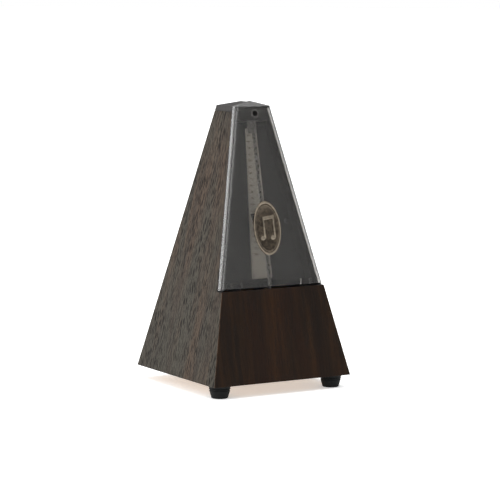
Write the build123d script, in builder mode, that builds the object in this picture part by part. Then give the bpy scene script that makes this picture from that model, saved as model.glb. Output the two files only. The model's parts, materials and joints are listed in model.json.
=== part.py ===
"""Key-wound pyramid metronome.

Origin: on the table, under the pyramid's axis.  +Z is up and the front faces -Y, so the winding key
is on +X.  The front is described in its own frame: x across, v up the slope from the bottom edge of
the front, n outward from the front surface.
"""
import os
from math import acos, atan, cos, hypot, pi, radians, sin, tan

from build123d import *

os.makedirs("parts", exist_ok=True)

# ---------------------------------------------------------------- driving dimensions, mm

BASE_WIDTH = 118.0
EAVE_WIDTH = 30.0
CASE_HEIGHT = 200.5
FOOT_HEIGHT = 9.5
WALL = 5.0
FIT_GAP = 0.2

CAP_SKIRT = 4.0
CAP_RIDGE_RISE = 3.2
CAP_REAR_RUN = 10.5
CAP_SPIGOT = 5.0

FRONT_PLATE_TOP = 76.9
FRONT_PLATE_THICKNESS = 3.0
COVER_GAP = 0.7
COVER_WALL = 1.6
COVER_DEPTH = 6.0
COVER_EDGE_RADIUS = 3.5
COVER_PEAK_RISE = 4.0
COVER_FRONT_RUN = 7.2
COVER_SEAT = 6.3
SNAP_HOLE_RADIUS = 2.4
SNAP_HOLE_HEIGHT = 200.0
BADGE_HEIGHT = 114.0

BASE_THICKNESS = 4.0
CORNER_BLOCK_TOP = 28.0
CORNER_BLOCK_INNER = 32.0
FOOT_TOP_RADIUS = 8.5
FOOT_BOTTOM_RADIUS = 6.2
FOOT_INSET = 10.7

PIVOT_HEIGHT = 60.0
ROD_DEPTH = 5.3
ROD_WIDTH = 2.5
ROD_THICKNESS = 0.8
ROD_TOP = 188.5
ROD_BOTTOM = 12.0
BOB_DROP = 39.0
BOB_RADIUS = 12.5
BOB_THICKNESS = 9.0
BOB_EDGE = 0.8
VERGE_RADIUS = 1.2
WEIGHT_REST_HEIGHT = 118.0

SCALE_BOTTOM = (78.0, -15.0)
SCALE_TOP = (190.0, -8.6)
SCALE_THICKNESS = 0.8
BOARD_THICKNESS = 2.0

PLATE_X = 26.0
PLATE_THICKNESS = 2.0
RUNNING_GAP = 0.06
PIVOT_RADIUS = 0.8
ARBOR_RADIUS = 1.5
CROWN_DEPTH = 30.0
CROWN_RADIUS = 12.0
CROWN_TEETH = 15
CROWN_TOOTH_TIP_X = -2.0

PRESSURE_ANGLE = radians(25)
ADDENDUM = 0.85
DEDENDUM = 1.15
BACKLASH = 0.12
FLANK_POINTS = 4
FINE_MODULE = 0.7
COARSE_MODULE = 0.8
ESCAPE_PINION_TEETH = 16
SECOND_WHEEL_TEETH = 40
SECOND_PINION_TEETH = 12
BARREL_TEETH = 48
ESCAPE_TO_SECOND = radians(-45)
SECOND_TO_BARREL = radians(-10)

RATCHET_TEETH = 24
RATCHET_RADIUS = 9.0
RATCHET_DEPTH = 1.2
RATCHET_START = 28.5
RATCHET_THICKNESS = 2.0

# ---------------------------------------------------------------- the pyramid and its front frame

HALF_BASE = BASE_WIDTH / 2
HALF_EAVE = EAVE_WIDTH / 2
EAVE_Z = FOOT_HEIGHT + CASE_HEIGHT
SLOPE = (HALF_BASE - HALF_EAVE) / CASE_HEIGHT
LEAN = atan(SLOPE)
PANEL_TOP = EAVE_Z - CAP_SKIRT
COVER_BOTTOM = FRONT_PLATE_TOP + COVER_GAP
BASE_TOP = FOOT_HEIGHT + BASE_THICKNESS

front_face = Plane(origin=(0, -HALF_BASE, FOOT_HEIGHT), x_dir=(1, 0, 0), z_dir=(0, -cos(LEAN), sin(LEAN)))


def half_width(z):
    """Half the pyramid's outer width at a height."""
    return HALF_BASE - SLOPE * (z - FOOT_HEIGHT)


def front_point(x, v, n):
    """A point given in the front frame, in the part's own axes."""
    y = -HALF_BASE + sin(LEAN) * v - cos(LEAN) * n
    z = FOOT_HEIGHT + cos(LEAN) * v + sin(LEAN) * n
    return (x, y, z)


def inner_half(z):
    """Half the clear width between the side panels at a height."""
    return half_width(z) - WALL / cos(LEAN)


def across(x, y, z):
    """A plane whose sketch axes are Y and Z and whose normal is +X."""
    return Plane(origin=(x, y, z), x_dir=(0, 1, 0), z_dir=(1, 0, 0))


# ---------------------------------------------------------------- shape helpers for an open part


def frustum(bottom, top, inset=0.0, mode=Mode.ADD):
    """A slice of the pyramid between two heights, with its walls moved in by inset."""
    sections = []
    for z in (bottom, top):
        with BuildSketch(Plane.XY.offset(z)) as section:
            side = 2 * (half_width(z) - inset / cos(LEAN))
            Rectangle(side, side)
        sections.append(section.sketch)
    loft(sections, mode=mode)


def block(plane, x, y, width, height, depth, mode=Mode.ADD):
    """A box standing on a plane, centred on (x, y)."""
    with BuildSketch(plane) as face:
        with Locations((x, y)):
            Rectangle(width, height)
    extrude(face.sketch, amount=depth, mode=mode)


def disc(plane, radius, depth, at=(0, 0), mode=Mode.ADD):
    """A cylinder standing on a plane."""
    with BuildSketch(plane) as face:
        with Locations(at):
            Circle(radius)
    extrude(face.sketch, amount=depth, mode=mode)


def prism(plane, points, depth, both=False, mode=Mode.ADD):
    """A straight-sided outline, extruded from a plane."""
    with BuildSketch(plane) as face:
        with BuildLine():
            Polyline(*points, close=True)
        make_face()
    extrude(face.sketch, amount=depth, both=both, mode=mode)


def front_space(depth, bottom, top, mode):
    """The space in front of a plane that lies this deep behind the front, between two heights."""
    back = depth / cos(LEAN)
    outside = -HALF_BASE - WALL
    points = [
        (back - half_width(bottom), bottom),
        (back - half_width(top), top),
        (outside, top),
        (outside, bottom),
    ]
    prism(Plane.YZ, points, HALF_BASE + WALL, both=True, mode=mode)


def keep_quarter(first, second):
    """Keep one wall of the pyramid's four, mitred at its corners."""
    for direction in (first, second):
        split(bisect_by=Plane(origin=(0, 0, 0), z_dir=direction), keep=Keep.TOP)


def roof_facet(side_x, side_y, rise, run):
    """Cut the open part down to one sloping facet of the roof."""
    edge = (side_x * HALF_EAVE, side_y * HALF_EAVE, EAVE_Z)
    split(bisect_by=Plane(origin=edge, z_dir=(side_x * rise, side_y * rise, run)), keep=Keep.BOTTOM)


def save(piece, name):
    """Label a finished piece and write its file."""
    piece.part.label = name
    export_step(piece.part, f"parts/{name}.step")


# ---------------------------------------------------------------- train geometry

escape_centre = front_point(0, PIVOT_HEIGHT, -CROWN_DEPTH)[1:]


def step_from(centre, angle, distance):
    """The point at a distance and direction from a centre, in the Y-Z plane."""
    return (centre[0] + distance * cos(angle), centre[1] + distance * sin(angle))


second_centre = step_from(
    escape_centre,
    ESCAPE_TO_SECOND,
    FINE_MODULE * (ESCAPE_PINION_TEETH + SECOND_WHEEL_TEETH) / 2,
)
barrel_centre = step_from(
    second_centre,
    SECOND_TO_BARREL,
    COARSE_MODULE * (SECOND_PINION_TEETH + BARREL_TEETH) / 2,
)


def involute(angle):
    """The involute function."""
    return tan(angle) - angle


def gear_outline(teeth, module, first_tooth):
    """Points of a spur gear's outline, with one tooth centred on an angle."""
    pitch = module * teeth / 2
    base = pitch * cos(PRESSURE_ANGLE)
    tip = pitch + ADDENDUM * module
    root = pitch - DEDENDUM * module
    start = max(root, base)
    half_tooth = pi / (2 * teeth) - BACKLASH / (4 * pitch)
    flank = [(root, half_tooth + involute(PRESSURE_ANGLE) - involute(acos(base / start)))]
    for step in range(1 if start == root else 0, FLANK_POINTS):
        radius = start + (tip - start) * step / (FLANK_POINTS - 1)
        turn = half_tooth + involute(PRESSURE_ANGLE) - involute(acos(base / radius))
        flank.append((radius, turn))
    points = []
    for tooth in range(teeth):
        middle = first_tooth + 2 * pi * tooth / teeth
        points += [(r * cos(middle - a), r * sin(middle - a)) for r, a in flank]
        points += [(r * cos(middle + a), r * sin(middle + a)) for r, a in reversed(flank)]
    return points


def saw_outline(teeth, radius, depth):
    """Points of a ratchet wheel's outline."""
    points = []
    for tooth in range(teeth):
        angle = 2 * pi * tooth / teeth
        points.append((radius * cos(angle), radius * sin(angle)))
        points.append(((radius - depth) * cos(angle), (radius - depth) * sin(angle)))
    return points


# ---------------------------------------------------------------- case panels

key_y, key_z = barrel_centre
KEY_HOLE_RADIUS = 4.2


def side_panel(name, side):
    """A side wall, cut back along its upper front edge for the cover's flange."""
    with BuildPart() as panel:
        frustum(FOOT_HEIGHT, PANEL_TOP)
        frustum(FOOT_HEIGHT, PANEL_TOP, inset=WALL, mode=Mode.SUBTRACT)
        keep_quarter((side, 1, 0), (side, -1, 0))
        front_space(COVER_SEAT, FRONT_PLATE_TOP, EAVE_Z, Mode.SUBTRACT)
        if side > 0:
            disc(across(0, key_y, key_z), KEY_HOLE_RADIUS, HALF_BASE, mode=Mode.SUBTRACT)
    save(panel, name)


side_panel("left_panel", -1)
side_panel("right_panel", 1)

with BuildPart() as rear_panel:
    frustum(FOOT_HEIGHT, PANEL_TOP)
    frustum(FOOT_HEIGHT, PANEL_TOP, inset=WALL, mode=Mode.SUBTRACT)
    keep_quarter((1, 1, 0), (-1, 1, 0))
save(rear_panel, "rear_panel")

with BuildPart() as front_plate:
    frustum(FOOT_HEIGHT, FRONT_PLATE_TOP)
    frustum(FOOT_HEIGHT, FRONT_PLATE_TOP, inset=FRONT_PLATE_THICKNESS, mode=Mode.SUBTRACT)
    keep_quarter((1, -1, 0), (-1, -1, 0))
save(front_plate, "front_plate")

# ---------------------------------------------------------------- cap

HEAD_BLOCK_DEPTH = 12.0

with BuildPart() as top_cap:
    frustum(PANEL_TOP, EAVE_Z)
    block(Plane.XY.offset(EAVE_Z), 0, 0, EAVE_WIDTH, EAVE_WIDTH, 2 * CAP_RIDGE_RISE)
    roof_facet(-1, 0, CAP_RIDGE_RISE, HALF_EAVE)
    roof_facet(1, 0, CAP_RIDGE_RISE, HALF_EAVE)
    roof_facet(0, 1, CAP_RIDGE_RISE, CAP_REAR_RUN)
    frustum(PANEL_TOP - CAP_SPIGOT, PANEL_TOP, inset=WALL + FIT_GAP)
    front_space(HEAD_BLOCK_DEPTH + FIT_GAP, PANEL_TOP - 2 * CAP_SPIGOT, PANEL_TOP, Mode.SUBTRACT)
    front_space(COVER_SEAT, PANEL_TOP, EAVE_Z + 2 * CAP_RIDGE_RISE, Mode.SUBTRACT)
save(top_cap, "top_cap")

# ---------------------------------------------------------------- clear front cover

COVER_INSIDE_TOP = EAVE_Z - COVER_WALL
SNAP_RIM_RADIUS = 3.3
SNAP_RIM_HEIGHT = 0.35
TAB_X = 30.0
TAB_WIDTH = 8.0
TAB_BOTTOM = 65.5
TAB_SHOULDER = 70.8
TAB_TOP = 75.0
TAB_BACK = 4.8
TAB_FRONT = 3.4


def long_front_edges(builder):
    """The two slanted edges between the front and the sides."""
    tall = builder.edges().filter_by(lambda e: e.length > CASE_HEIGHT / 2)
    return tall.sort_by(Axis.Y)[:2]


with BuildPart() as cover_inside:
    frustum(FRONT_PLATE_TOP, COVER_INSIDE_TOP, inset=COVER_WALL)
    fillet(long_front_edges(cover_inside), COVER_EDGE_RADIUS - COVER_WALL)

with BuildPart() as front_cover:
    frustum(COVER_BOTTOM, EAVE_Z)
    block(Plane.XY.offset(EAVE_Z), 0, 0, EAVE_WIDTH, EAVE_WIDTH, 2 * COVER_PEAK_RISE)
    roof_facet(-1, 0, COVER_PEAK_RISE, HALF_EAVE)
    roof_facet(1, 0, COVER_PEAK_RISE, HALF_EAVE)
    roof_facet(0, -1, COVER_PEAK_RISE, COVER_FRONT_RUN)
    fillet(long_front_edges(front_cover), COVER_EDGE_RADIUS)
    split(bisect_by=front_face.offset(-COVER_DEPTH), keep=Keep.TOP)
    add(cover_inside.part, mode=Mode.SUBTRACT)
    disc(front_face, SNAP_RIM_RADIUS, SNAP_RIM_HEIGHT, at=(0, SNAP_HOLE_HEIGHT))
    with BuildSketch(front_face):
        with Locations((0, SNAP_HOLE_HEIGHT)):
            Circle(SNAP_HOLE_RADIUS)
    extrude(amount=2 * COVER_WALL, both=True, mode=Mode.SUBTRACT)
    for tab_x in (-TAB_X, TAB_X):
        shoulder = (TAB_SHOULDER + TAB_TOP) / 2
        tongue = (TAB_BOTTOM + TAB_TOP) / 2
        tab_back = front_face.offset(-TAB_BACK)
        block(tab_back, tab_x, shoulder, TAB_WIDTH, TAB_TOP - TAB_SHOULDER, TAB_BACK - COVER_WALL / 2)
        block(tab_back, tab_x, tongue, TAB_WIDTH, TAB_TOP - TAB_BOTTOM, TAB_BACK - TAB_FRONT)
save(front_cover, "front_cover")

# ---------------------------------------------------------------- badge: an oval with a beamed pair of notes

BADGE_WIDTH_RADIUS = 11.5
BADGE_TALL_RADIUS = 20.0
BADGE_PLATE = 0.6
BADGE_RELIEF = 0.4
BADGE_RIM = 1.0
NOTE_HEAD_X = 4.6
NOTE_HEAD_RADII = (2.4, 1.8)
NOTE_HEAD_TILT = 20
NOTE_HEAD_DROP = 7.5
NOTE_STEM_TOP = 9.5
NOTE_STEM_WIDTH = 1.1
NOTE_STEM_OFFSET = 1.7
NOTE_BEAM_HEIGHT = 2.6

with BuildPart() as cover_badge:
    with BuildSketch(front_face):
        with Locations((0, BADGE_HEIGHT)):
            Ellipse(BADGE_WIDTH_RADIUS, BADGE_TALL_RADIUS)
    extrude(amount=BADGE_PLATE)
    with BuildSketch(front_face.offset(BADGE_PLATE)):
        with Locations((0, BADGE_HEIGHT)):
            Ellipse(BADGE_WIDTH_RADIUS, BADGE_TALL_RADIUS)
            Ellipse(BADGE_WIDTH_RADIUS - BADGE_RIM, BADGE_TALL_RADIUS - BADGE_RIM, mode=Mode.SUBTRACT)
    extrude(amount=BADGE_RELIEF)
    with BuildSketch(front_face.offset(BADGE_PLATE)):
        head_v = BADGE_HEIGHT - NOTE_HEAD_DROP
        with Locations((-NOTE_HEAD_X, head_v), (NOTE_HEAD_X, head_v)):
            Ellipse(*NOTE_HEAD_RADII, rotation=NOTE_HEAD_TILT)
        stem_v = head_v + (NOTE_STEM_TOP + NOTE_HEAD_DROP) / 2
        left_stem_x = NOTE_STEM_OFFSET - NOTE_HEAD_X
        right_stem_x = NOTE_STEM_OFFSET + NOTE_HEAD_X
        with Locations((left_stem_x, stem_v), (right_stem_x, stem_v)):
            Rectangle(NOTE_STEM_WIDTH, NOTE_STEM_TOP + NOTE_HEAD_DROP)
        beam_v = BADGE_HEIGHT + NOTE_STEM_TOP - NOTE_BEAM_HEIGHT / 2
        with Locations((NOTE_STEM_OFFSET, beam_v)):
            Rectangle(2 * NOTE_HEAD_X + NOTE_STEM_WIDTH, NOTE_BEAM_HEIGHT)
    extrude(amount=BADGE_RELIEF)
save(cover_badge, "cover_badge")

# ---------------------------------------------------------------- head block, snap stud and rod catch

HEAD_FRONT = 2.2
HEAD_STEP = 6.1
HEAD_BOTTOM = 195.0
HEAD_TOP = 203.0
HEAD_REAR_TOP = 200.0
HEAD_HALF_WIDTH = 12.8
HEAD_REAR_HALF_WIDTH = 10.4
STUD_RADIUS = 2.05
STUD_TOP = 0.2
STUD_EDGE = 0.6
CATCH_BOTTOM = 186.0
CATCH_FRONT = 6.3
CATCH_BACK = 8.3
CATCH_WIDTH = 7.0

with BuildPart() as head_block:
    block(
        front_face.offset(-HEAD_STEP),
        0,
        (HEAD_BOTTOM + HEAD_TOP) / 2,
        2 * HEAD_HALF_WIDTH,
        HEAD_TOP - HEAD_BOTTOM,
        HEAD_STEP - HEAD_FRONT,
    )
    block(
        front_face.offset(-HEAD_BLOCK_DEPTH),
        0,
        (HEAD_BOTTOM + HEAD_REAR_TOP) / 2,
        2 * HEAD_REAR_HALF_WIDTH,
        HEAD_REAR_TOP - HEAD_BOTTOM,
        HEAD_BLOCK_DEPTH - HEAD_STEP,
    )
save(head_block, "head_block")

with BuildPart() as cover_stud:
    disc(front_face.offset(-HEAD_FRONT), STUD_RADIUS, HEAD_FRONT + STUD_TOP, at=(0, SNAP_HOLE_HEIGHT))
    fillet(cover_stud.faces().sort_by(Axis.Y)[0].edges(), STUD_EDGE)
save(cover_stud, "cover_stud")

with BuildPart() as rod_catch:
    block(
        front_face.offset(-CATCH_BACK),
        0,
        (CATCH_BOTTOM + HEAD_BOTTOM) / 2,
        CATCH_WIDTH,
        HEAD_BOTTOM - CATCH_BOTTOM,
        CATCH_BACK - CATCH_FRONT,
    )
save(rod_catch, "rod_catch")

# ---------------------------------------------------------------- dial board and tempo scale

scale_rise = SCALE_TOP[0] - SCALE_BOTTOM[0]
SCALE_LENGTH = hypot(scale_rise, SCALE_TOP[1] - SCALE_BOTTOM[1])
BOARD_LEAN = LEAN - atan((SCALE_TOP[1] - SCALE_BOTTOM[1]) / scale_rise)
board_face = Plane(
    origin=front_point(0, *SCALE_BOTTOM),
    x_dir=(1, 0, 0),
    z_dir=(0, -cos(BOARD_LEAN), sin(BOARD_LEAN)),
)
BOARD_MARGIN = 2.0
SCALE_HALF_BOTTOM = 8.5
SCALE_HALF_TOP = 4.5
PIN_RADIUS = 1.0
PIN_INSET = 2.5
PIN_HEAD = 0.35
PIN_SIDE_INSET = 1.8
CLEAT_BOTTOM = 95.0
CLEAT_TOP = 130.0
CLEAT_WIDTH = 6.0
CLEAT_DEPTH = 6.0
CLEAT_SCREW_INSET = 6.0
BOARD_SCREW_RADIUS = 1.2
BOARD_SCREW_HEAD = 2.2
BOARD_SCREW_HEAD_HEIGHT = 1.0


def board_height(up):
    """Height above the table of a point this far up the board."""
    return front_point(0, *SCALE_BOTTOM)[2] + cos(BOARD_LEAN) * up


pin_rows = ((PIN_INSET, SCALE_HALF_BOTTOM), (SCALE_LENGTH - PIN_INSET, SCALE_HALF_TOP))
pin_places = [(side * (half - PIN_SIDE_INSET), up) for up, half in pin_rows for side in (-1, 1)]


def cleat_places():
    """Screw places on the board, over the cleats."""
    places = []
    for z in (CLEAT_BOTTOM + CLEAT_SCREW_INSET, CLEAT_TOP - CLEAT_SCREW_INSET):
        up = (z - board_height(0)) / cos(BOARD_LEAN)
        x = inner_half(z) - CLEAT_WIDTH / 2
        places += [(-x, up), (x, up)]
    return places


with BuildPart() as dial_board:
    bottom_half = inner_half(board_height(-BOARD_MARGIN)) - FIT_GAP
    top_half = inner_half(board_height(SCALE_LENGTH + BOARD_MARGIN)) - FIT_GAP
    board_outline = [
        (-bottom_half, -BOARD_MARGIN),
        (bottom_half, -BOARD_MARGIN),
        (top_half, SCALE_LENGTH + BOARD_MARGIN),
        (-top_half, SCALE_LENGTH + BOARD_MARGIN),
    ]
    board_back = board_face.offset(-SCALE_THICKNESS - BOARD_THICKNESS)
    prism(board_back, board_outline, BOARD_THICKNESS)
    for place in cleat_places():
        disc(board_back, BOARD_SCREW_RADIUS, BOARD_THICKNESS, at=place, mode=Mode.SUBTRACT)
    for place in pin_places:
        disc(board_back, PIN_RADIUS / 2, BOARD_THICKNESS, at=place, mode=Mode.SUBTRACT)
save(dial_board, "dial_board")

with BuildPart() as tempo_scale:
    scale_outline = [
        (-SCALE_HALF_BOTTOM, 0),
        (SCALE_HALF_BOTTOM, 0),
        (SCALE_HALF_TOP, SCALE_LENGTH),
        (-SCALE_HALF_TOP, SCALE_LENGTH),
    ]
    prism(board_face.offset(-SCALE_THICKNESS), scale_outline, SCALE_THICKNESS)
    for place in pin_places:
        disc(board_face, PIN_RADIUS / 2, -SCALE_THICKNESS, at=place, mode=Mode.SUBTRACT)
save(tempo_scale, "tempo_scale")

with BuildPart() as scale_pins:
    for place in pin_places:
        disc(board_face, PIN_RADIUS, PIN_HEAD, at=place)
        disc(board_face, PIN_RADIUS / 2, -SCALE_THICKNESS - BOARD_THICKNESS, at=place)
save(scale_pins, "scale_pins")

with BuildPart() as board_cleats:
    frustum(CLEAT_BOTTOM, CLEAT_TOP, inset=WALL)
    cleat_side = Plane(origin=(CLEAT_WIDTH - inner_half(CLEAT_TOP), 0, 0), z_dir=(-1, 0, 0))
    split(bisect_by=cleat_side, keep=Keep.TOP)
    split(bisect_by=board_back, keep=Keep.BOTTOM)
    split(bisect_by=board_back.offset(-CLEAT_DEPTH), keep=Keep.TOP)
    mirror(about=Plane.YZ)
    for place in cleat_places():
        disc(board_back, BOARD_SCREW_RADIUS, -CLEAT_DEPTH, at=place, mode=Mode.SUBTRACT)
save(board_cleats, "board_cleats")

with BuildPart() as board_screws:
    board_front = board_face.offset(-SCALE_THICKNESS)
    for place in cleat_places():
        disc(board_front, BOARD_SCREW_HEAD, BOARD_SCREW_HEAD_HEIGHT, at=place)
        disc(board_front, BOARD_SCREW_RADIUS, BOARD_SCREW_HEAD_HEIGHT - CLEAT_DEPTH, at=place)
save(board_screws, "board_screws")

# ---------------------------------------------------------------- base, blocks, feet and their screws

BASE_SCREW_AT = 36.0
BASE_SCREW_RADIUS = 1.4
BASE_SCREW_HEAD = 2.6
BASE_SCREW_HEAD_DEPTH = 1.5
BASE_SCREW_LENGTH = 14.5
FOOT_SCREW_RADIUS = 1.7
FOOT_SCREW_HEAD = 2.9
FOOT_SCREW_HEAD_LOW = 3.5
FOOT_SCREW_HEAD_HIGH = 6.0
FOOT_SCREW_TOP = 13.0
FOOT_EDGE = 0.8
foot_at = HALF_BASE - FOOT_INSET
foot_places = {
    "foot_front_left": (-foot_at, -foot_at),
    "foot_front_right": (foot_at, -foot_at),
    "foot_rear": (0, foot_at),
}
BRACKET_SCREW_X = 33.5
BRACKET_SCREW_YS = (-24.0, 25.5)
BRACKET_SCREW_RADIUS = 1.3
bracket_places = [(side * BRACKET_SCREW_X, y) for side in (-1, 1) for y in BRACKET_SCREW_YS]


with BuildPart() as base_plate:
    frustum(FOOT_HEIGHT, BASE_TOP, inset=WALL + FIT_GAP)
    with BuildSketch(Plane.XY.offset(FOOT_HEIGHT)):
        with GridLocations(2 * BASE_SCREW_AT, 2 * BASE_SCREW_AT, 2, 2):
            Circle(BASE_SCREW_HEAD)
    extrude(amount=BASE_SCREW_HEAD_DEPTH, mode=Mode.SUBTRACT)
    with BuildSketch(Plane.XY.offset(FOOT_HEIGHT)):
        with GridLocations(2 * BASE_SCREW_AT, 2 * BASE_SCREW_AT, 2, 2):
            Circle(BASE_SCREW_RADIUS)
        with Locations(*bracket_places):
            Circle(BRACKET_SCREW_RADIUS)
    extrude(amount=BASE_THICKNESS, mode=Mode.SUBTRACT)
    with BuildSketch(Plane.XY.offset(FOOT_HEIGHT)):
        with Locations(*foot_places.values()):
            Circle(FOOT_SCREW_RADIUS)
    extrude(amount=FOOT_SCREW_TOP - FOOT_HEIGHT, mode=Mode.SUBTRACT)
save(base_plate, "base_plate")

with BuildPart() as corner_blocks:
    frustum(BASE_TOP, CORNER_BLOCK_TOP, inset=WALL)
    block_base = Plane.XY.offset(BASE_TOP)
    rise = CORNER_BLOCK_TOP - BASE_TOP
    block(block_base, 0, 0, 2 * CORNER_BLOCK_INNER, BASE_WIDTH, rise, mode=Mode.SUBTRACT)
    block(block_base, 0, 0, BASE_WIDTH, 2 * CORNER_BLOCK_INNER, rise, mode=Mode.SUBTRACT)
    with BuildSketch(block_base):
        with GridLocations(2 * BASE_SCREW_AT, 2 * BASE_SCREW_AT, 2, 2):
            Circle(BASE_SCREW_RADIUS)
    extrude(amount=BASE_SCREW_LENGTH - BASE_THICKNESS, mode=Mode.SUBTRACT)
save(corner_blocks, "corner_blocks")

with BuildPart() as base_screws:
    with BuildSketch(Plane.XY.offset(FOOT_HEIGHT)):
        with GridLocations(2 * BASE_SCREW_AT, 2 * BASE_SCREW_AT, 2, 2):
            Circle(BASE_SCREW_HEAD)
    extrude(amount=BASE_SCREW_HEAD_DEPTH)
    with BuildSketch(Plane.XY.offset(FOOT_HEIGHT)):
        with GridLocations(2 * BASE_SCREW_AT, 2 * BASE_SCREW_AT, 2, 2):
            Circle(BASE_SCREW_RADIUS)
    extrude(amount=BASE_SCREW_LENGTH)
save(base_screws, "base_screws")


def foot(name, at):
    """A tapered rubber foot with a recess for its screw."""
    with BuildPart() as rubber:
        with BuildSketch(Plane.XY):
            with Locations(at):
                Circle(FOOT_BOTTOM_RADIUS)
        with BuildSketch(Plane.XY.offset(FOOT_HEIGHT)):
            with Locations(at):
                Circle(FOOT_TOP_RADIUS)
        loft()
        fillet(rubber.edges().group_by(Axis.Z)[0], FOOT_EDGE)
        disc(Plane.XY, FOOT_SCREW_HEAD + FIT_GAP, FOOT_SCREW_HEAD_HIGH, at=at, mode=Mode.SUBTRACT)
        disc(Plane.XY, FOOT_SCREW_RADIUS, FOOT_HEIGHT, at=at, mode=Mode.SUBTRACT)
    save(rubber, name)


for foot_name, foot_place in foot_places.items():
    foot(foot_name, foot_place)

with BuildPart() as foot_screws:
    with BuildSketch(Plane.XY.offset(FOOT_SCREW_HEAD_LOW)):
        with Locations(*foot_places.values()):
            Circle(FOOT_SCREW_HEAD)
    extrude(amount=FOOT_SCREW_HEAD_HIGH - FOOT_SCREW_HEAD_LOW)
    with BuildSketch(Plane.XY.offset(FOOT_SCREW_HEAD_LOW)):
        with Locations(*foot_places.values()):
            Circle(FOOT_SCREW_RADIUS)
    extrude(amount=FOOT_SCREW_TOP - FOOT_SCREW_HEAD_LOW)
save(foot_screws, "foot_screws")

# ---------------------------------------------------------------- movement frame

pillar_places = [(-27.0, 26.0), (8.0, 22.0), (34.5, 25.0), (5.0, 65.5)]
PILLAR_RADIUS = 2.5
PILLAR_SCREW_RADIUS = 1.25
PILLAR_SCREW_HEAD = 2.4
PILLAR_SCREW_HEAD_HEIGHT = 1.6
PILLAR_SCREW_DEPTH = 5.0
plate_outline = [
    (-34, 18),
    (36, 18),
    (40, 30),
    (40, 56),
    (24, 66),
    (-14, 74),
    (-38, 74),
    (-38, 56),
    (-34, 50),
]
LEG_WIDTH = 12.0
BRACKET_REACH = 10.0
BRIDGE_HALF = 4.0
BRIDGE_FRONT = 9.0
BRIDGE_BACK = 12.0
COCK_FRONT = 48.0
COCK_BACK = 51.0
COCK_HEIGHT = 61.0
COCK_END_X = -4.0
COCK_SCREW_RISE = 1.5
POTENCE_X = -12.5
POTENCE_THICKNESS = 2.0
POTENCE_BACK = 36.0
POTENCE_PILLAR_DEPTH = 20.0
POTENCE_PILLAR_RADIUS = 2.0
BRIDGE_SCREW_RADIUS = 0.9
BRIDGE_SCREW_HEAD = 2.0
BRIDGE_SCREW_HEAD_HEIGHT = 1.2
BRIDGE_SCREW_DEPTH = 5.0
WINDING_ARBOR_RADIUS = 3.0
ARBOR_END_RADIUS = 2.0
click_centre = (barrel_centre[0] - 14.0, barrel_centre[1] + 8.0)
CLICK_SCREW_RADIUS = 1.2

bridge_middle = (BRIDGE_FRONT + BRIDGE_BACK) / 2
cock_middle = (COCK_FRONT + COCK_BACK) / 2
front_bridge_end = front_point(0, PIVOT_HEIGHT, -bridge_middle)[1:]
rear_cock_end = front_point(0, COCK_HEIGHT + COCK_SCREW_RISE, -cock_middle)[1:]
potence_pillar_end = front_point(0, PIVOT_HEIGHT, -POTENCE_PILLAR_DEPTH)[1:]
PLATE_OUTSIDE = PLATE_X + PLATE_THICKNESS


def movement_plate(name, side):
    """One plate of the clockwork frame, with two legs bent outward onto the base."""
    inside = side * PLATE_X
    thickness = side * PLATE_THICKNESS
    with BuildPart() as plate:
        prism(across(inside, 0, 0), plate_outline, thickness)
        for leg_y in BRACKET_SCREW_YS:
            leg_rise = plate_outline[0][1] - BASE_TOP
            block(
                across(inside, leg_y, BASE_TOP + leg_rise / 2),
                0,
                0,
                LEG_WIDTH,
                leg_rise,
                thickness,
            )
            reach = PLATE_THICKNESS + BRACKET_REACH
            block(
                Plane.XY.offset(BASE_TOP),
                side * (PLATE_X + reach / 2),
                leg_y,
                reach,
                LEG_WIDTH,
                PLATE_THICKNESS,
            )
            with BuildSketch(Plane.XY.offset(BASE_TOP)):
                with Locations((side * BRACKET_SCREW_X, leg_y)):
                    Circle(BRACKET_SCREW_RADIUS)
            extrude(amount=PLATE_THICKNESS, mode=Mode.SUBTRACT)
        holes = [(place, PILLAR_SCREW_RADIUS) for place in pillar_places]
        holes.append((second_centre, PIVOT_RADIUS + RUNNING_GAP))
        holes.append((front_bridge_end, BRIDGE_SCREW_RADIUS))
        if side < 0:
            holes.append((escape_centre, PIVOT_RADIUS + RUNNING_GAP))
            holes.append((barrel_centre, ARBOR_END_RADIUS + RUNNING_GAP))
            holes.append((potence_pillar_end, BRIDGE_SCREW_RADIUS))
        else:
            holes.append((barrel_centre, WINDING_ARBOR_RADIUS + RUNNING_GAP))
            holes.append((rear_cock_end, BRIDGE_SCREW_RADIUS))
            holes.append((click_centre, CLICK_SCREW_RADIUS))
        for place, radius in holes:
            disc(across(inside, 0, 0), radius, thickness, at=place, mode=Mode.SUBTRACT)
    save(plate, name)


movement_plate("movement_plate_left", -1)
movement_plate("movement_plate_right", 1)

with BuildPart() as movement_pillars:
    for place in pillar_places:
        disc(across(-PLATE_X, 0, 0), PILLAR_RADIUS, 2 * PLATE_X, at=place)
        for end in (-1, 1):
            end_plane = across(end * PLATE_X, 0, 0)
            disc(end_plane, PILLAR_SCREW_RADIUS, -end * PILLAR_SCREW_DEPTH, at=place, mode=Mode.SUBTRACT)
save(movement_pillars, "movement_pillars")

with BuildPart() as pillar_screws:
    for place in pillar_places:
        for end in (-1, 1):
            head = across(end * PLATE_OUTSIDE, 0, 0)
            disc(head, PILLAR_SCREW_HEAD, end * PILLAR_SCREW_HEAD_HEIGHT, at=place)
            disc(head, PILLAR_SCREW_RADIUS, -end * (PLATE_THICKNESS + PILLAR_SCREW_DEPTH), at=place)
save(pillar_screws, "pillar_screws")

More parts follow.
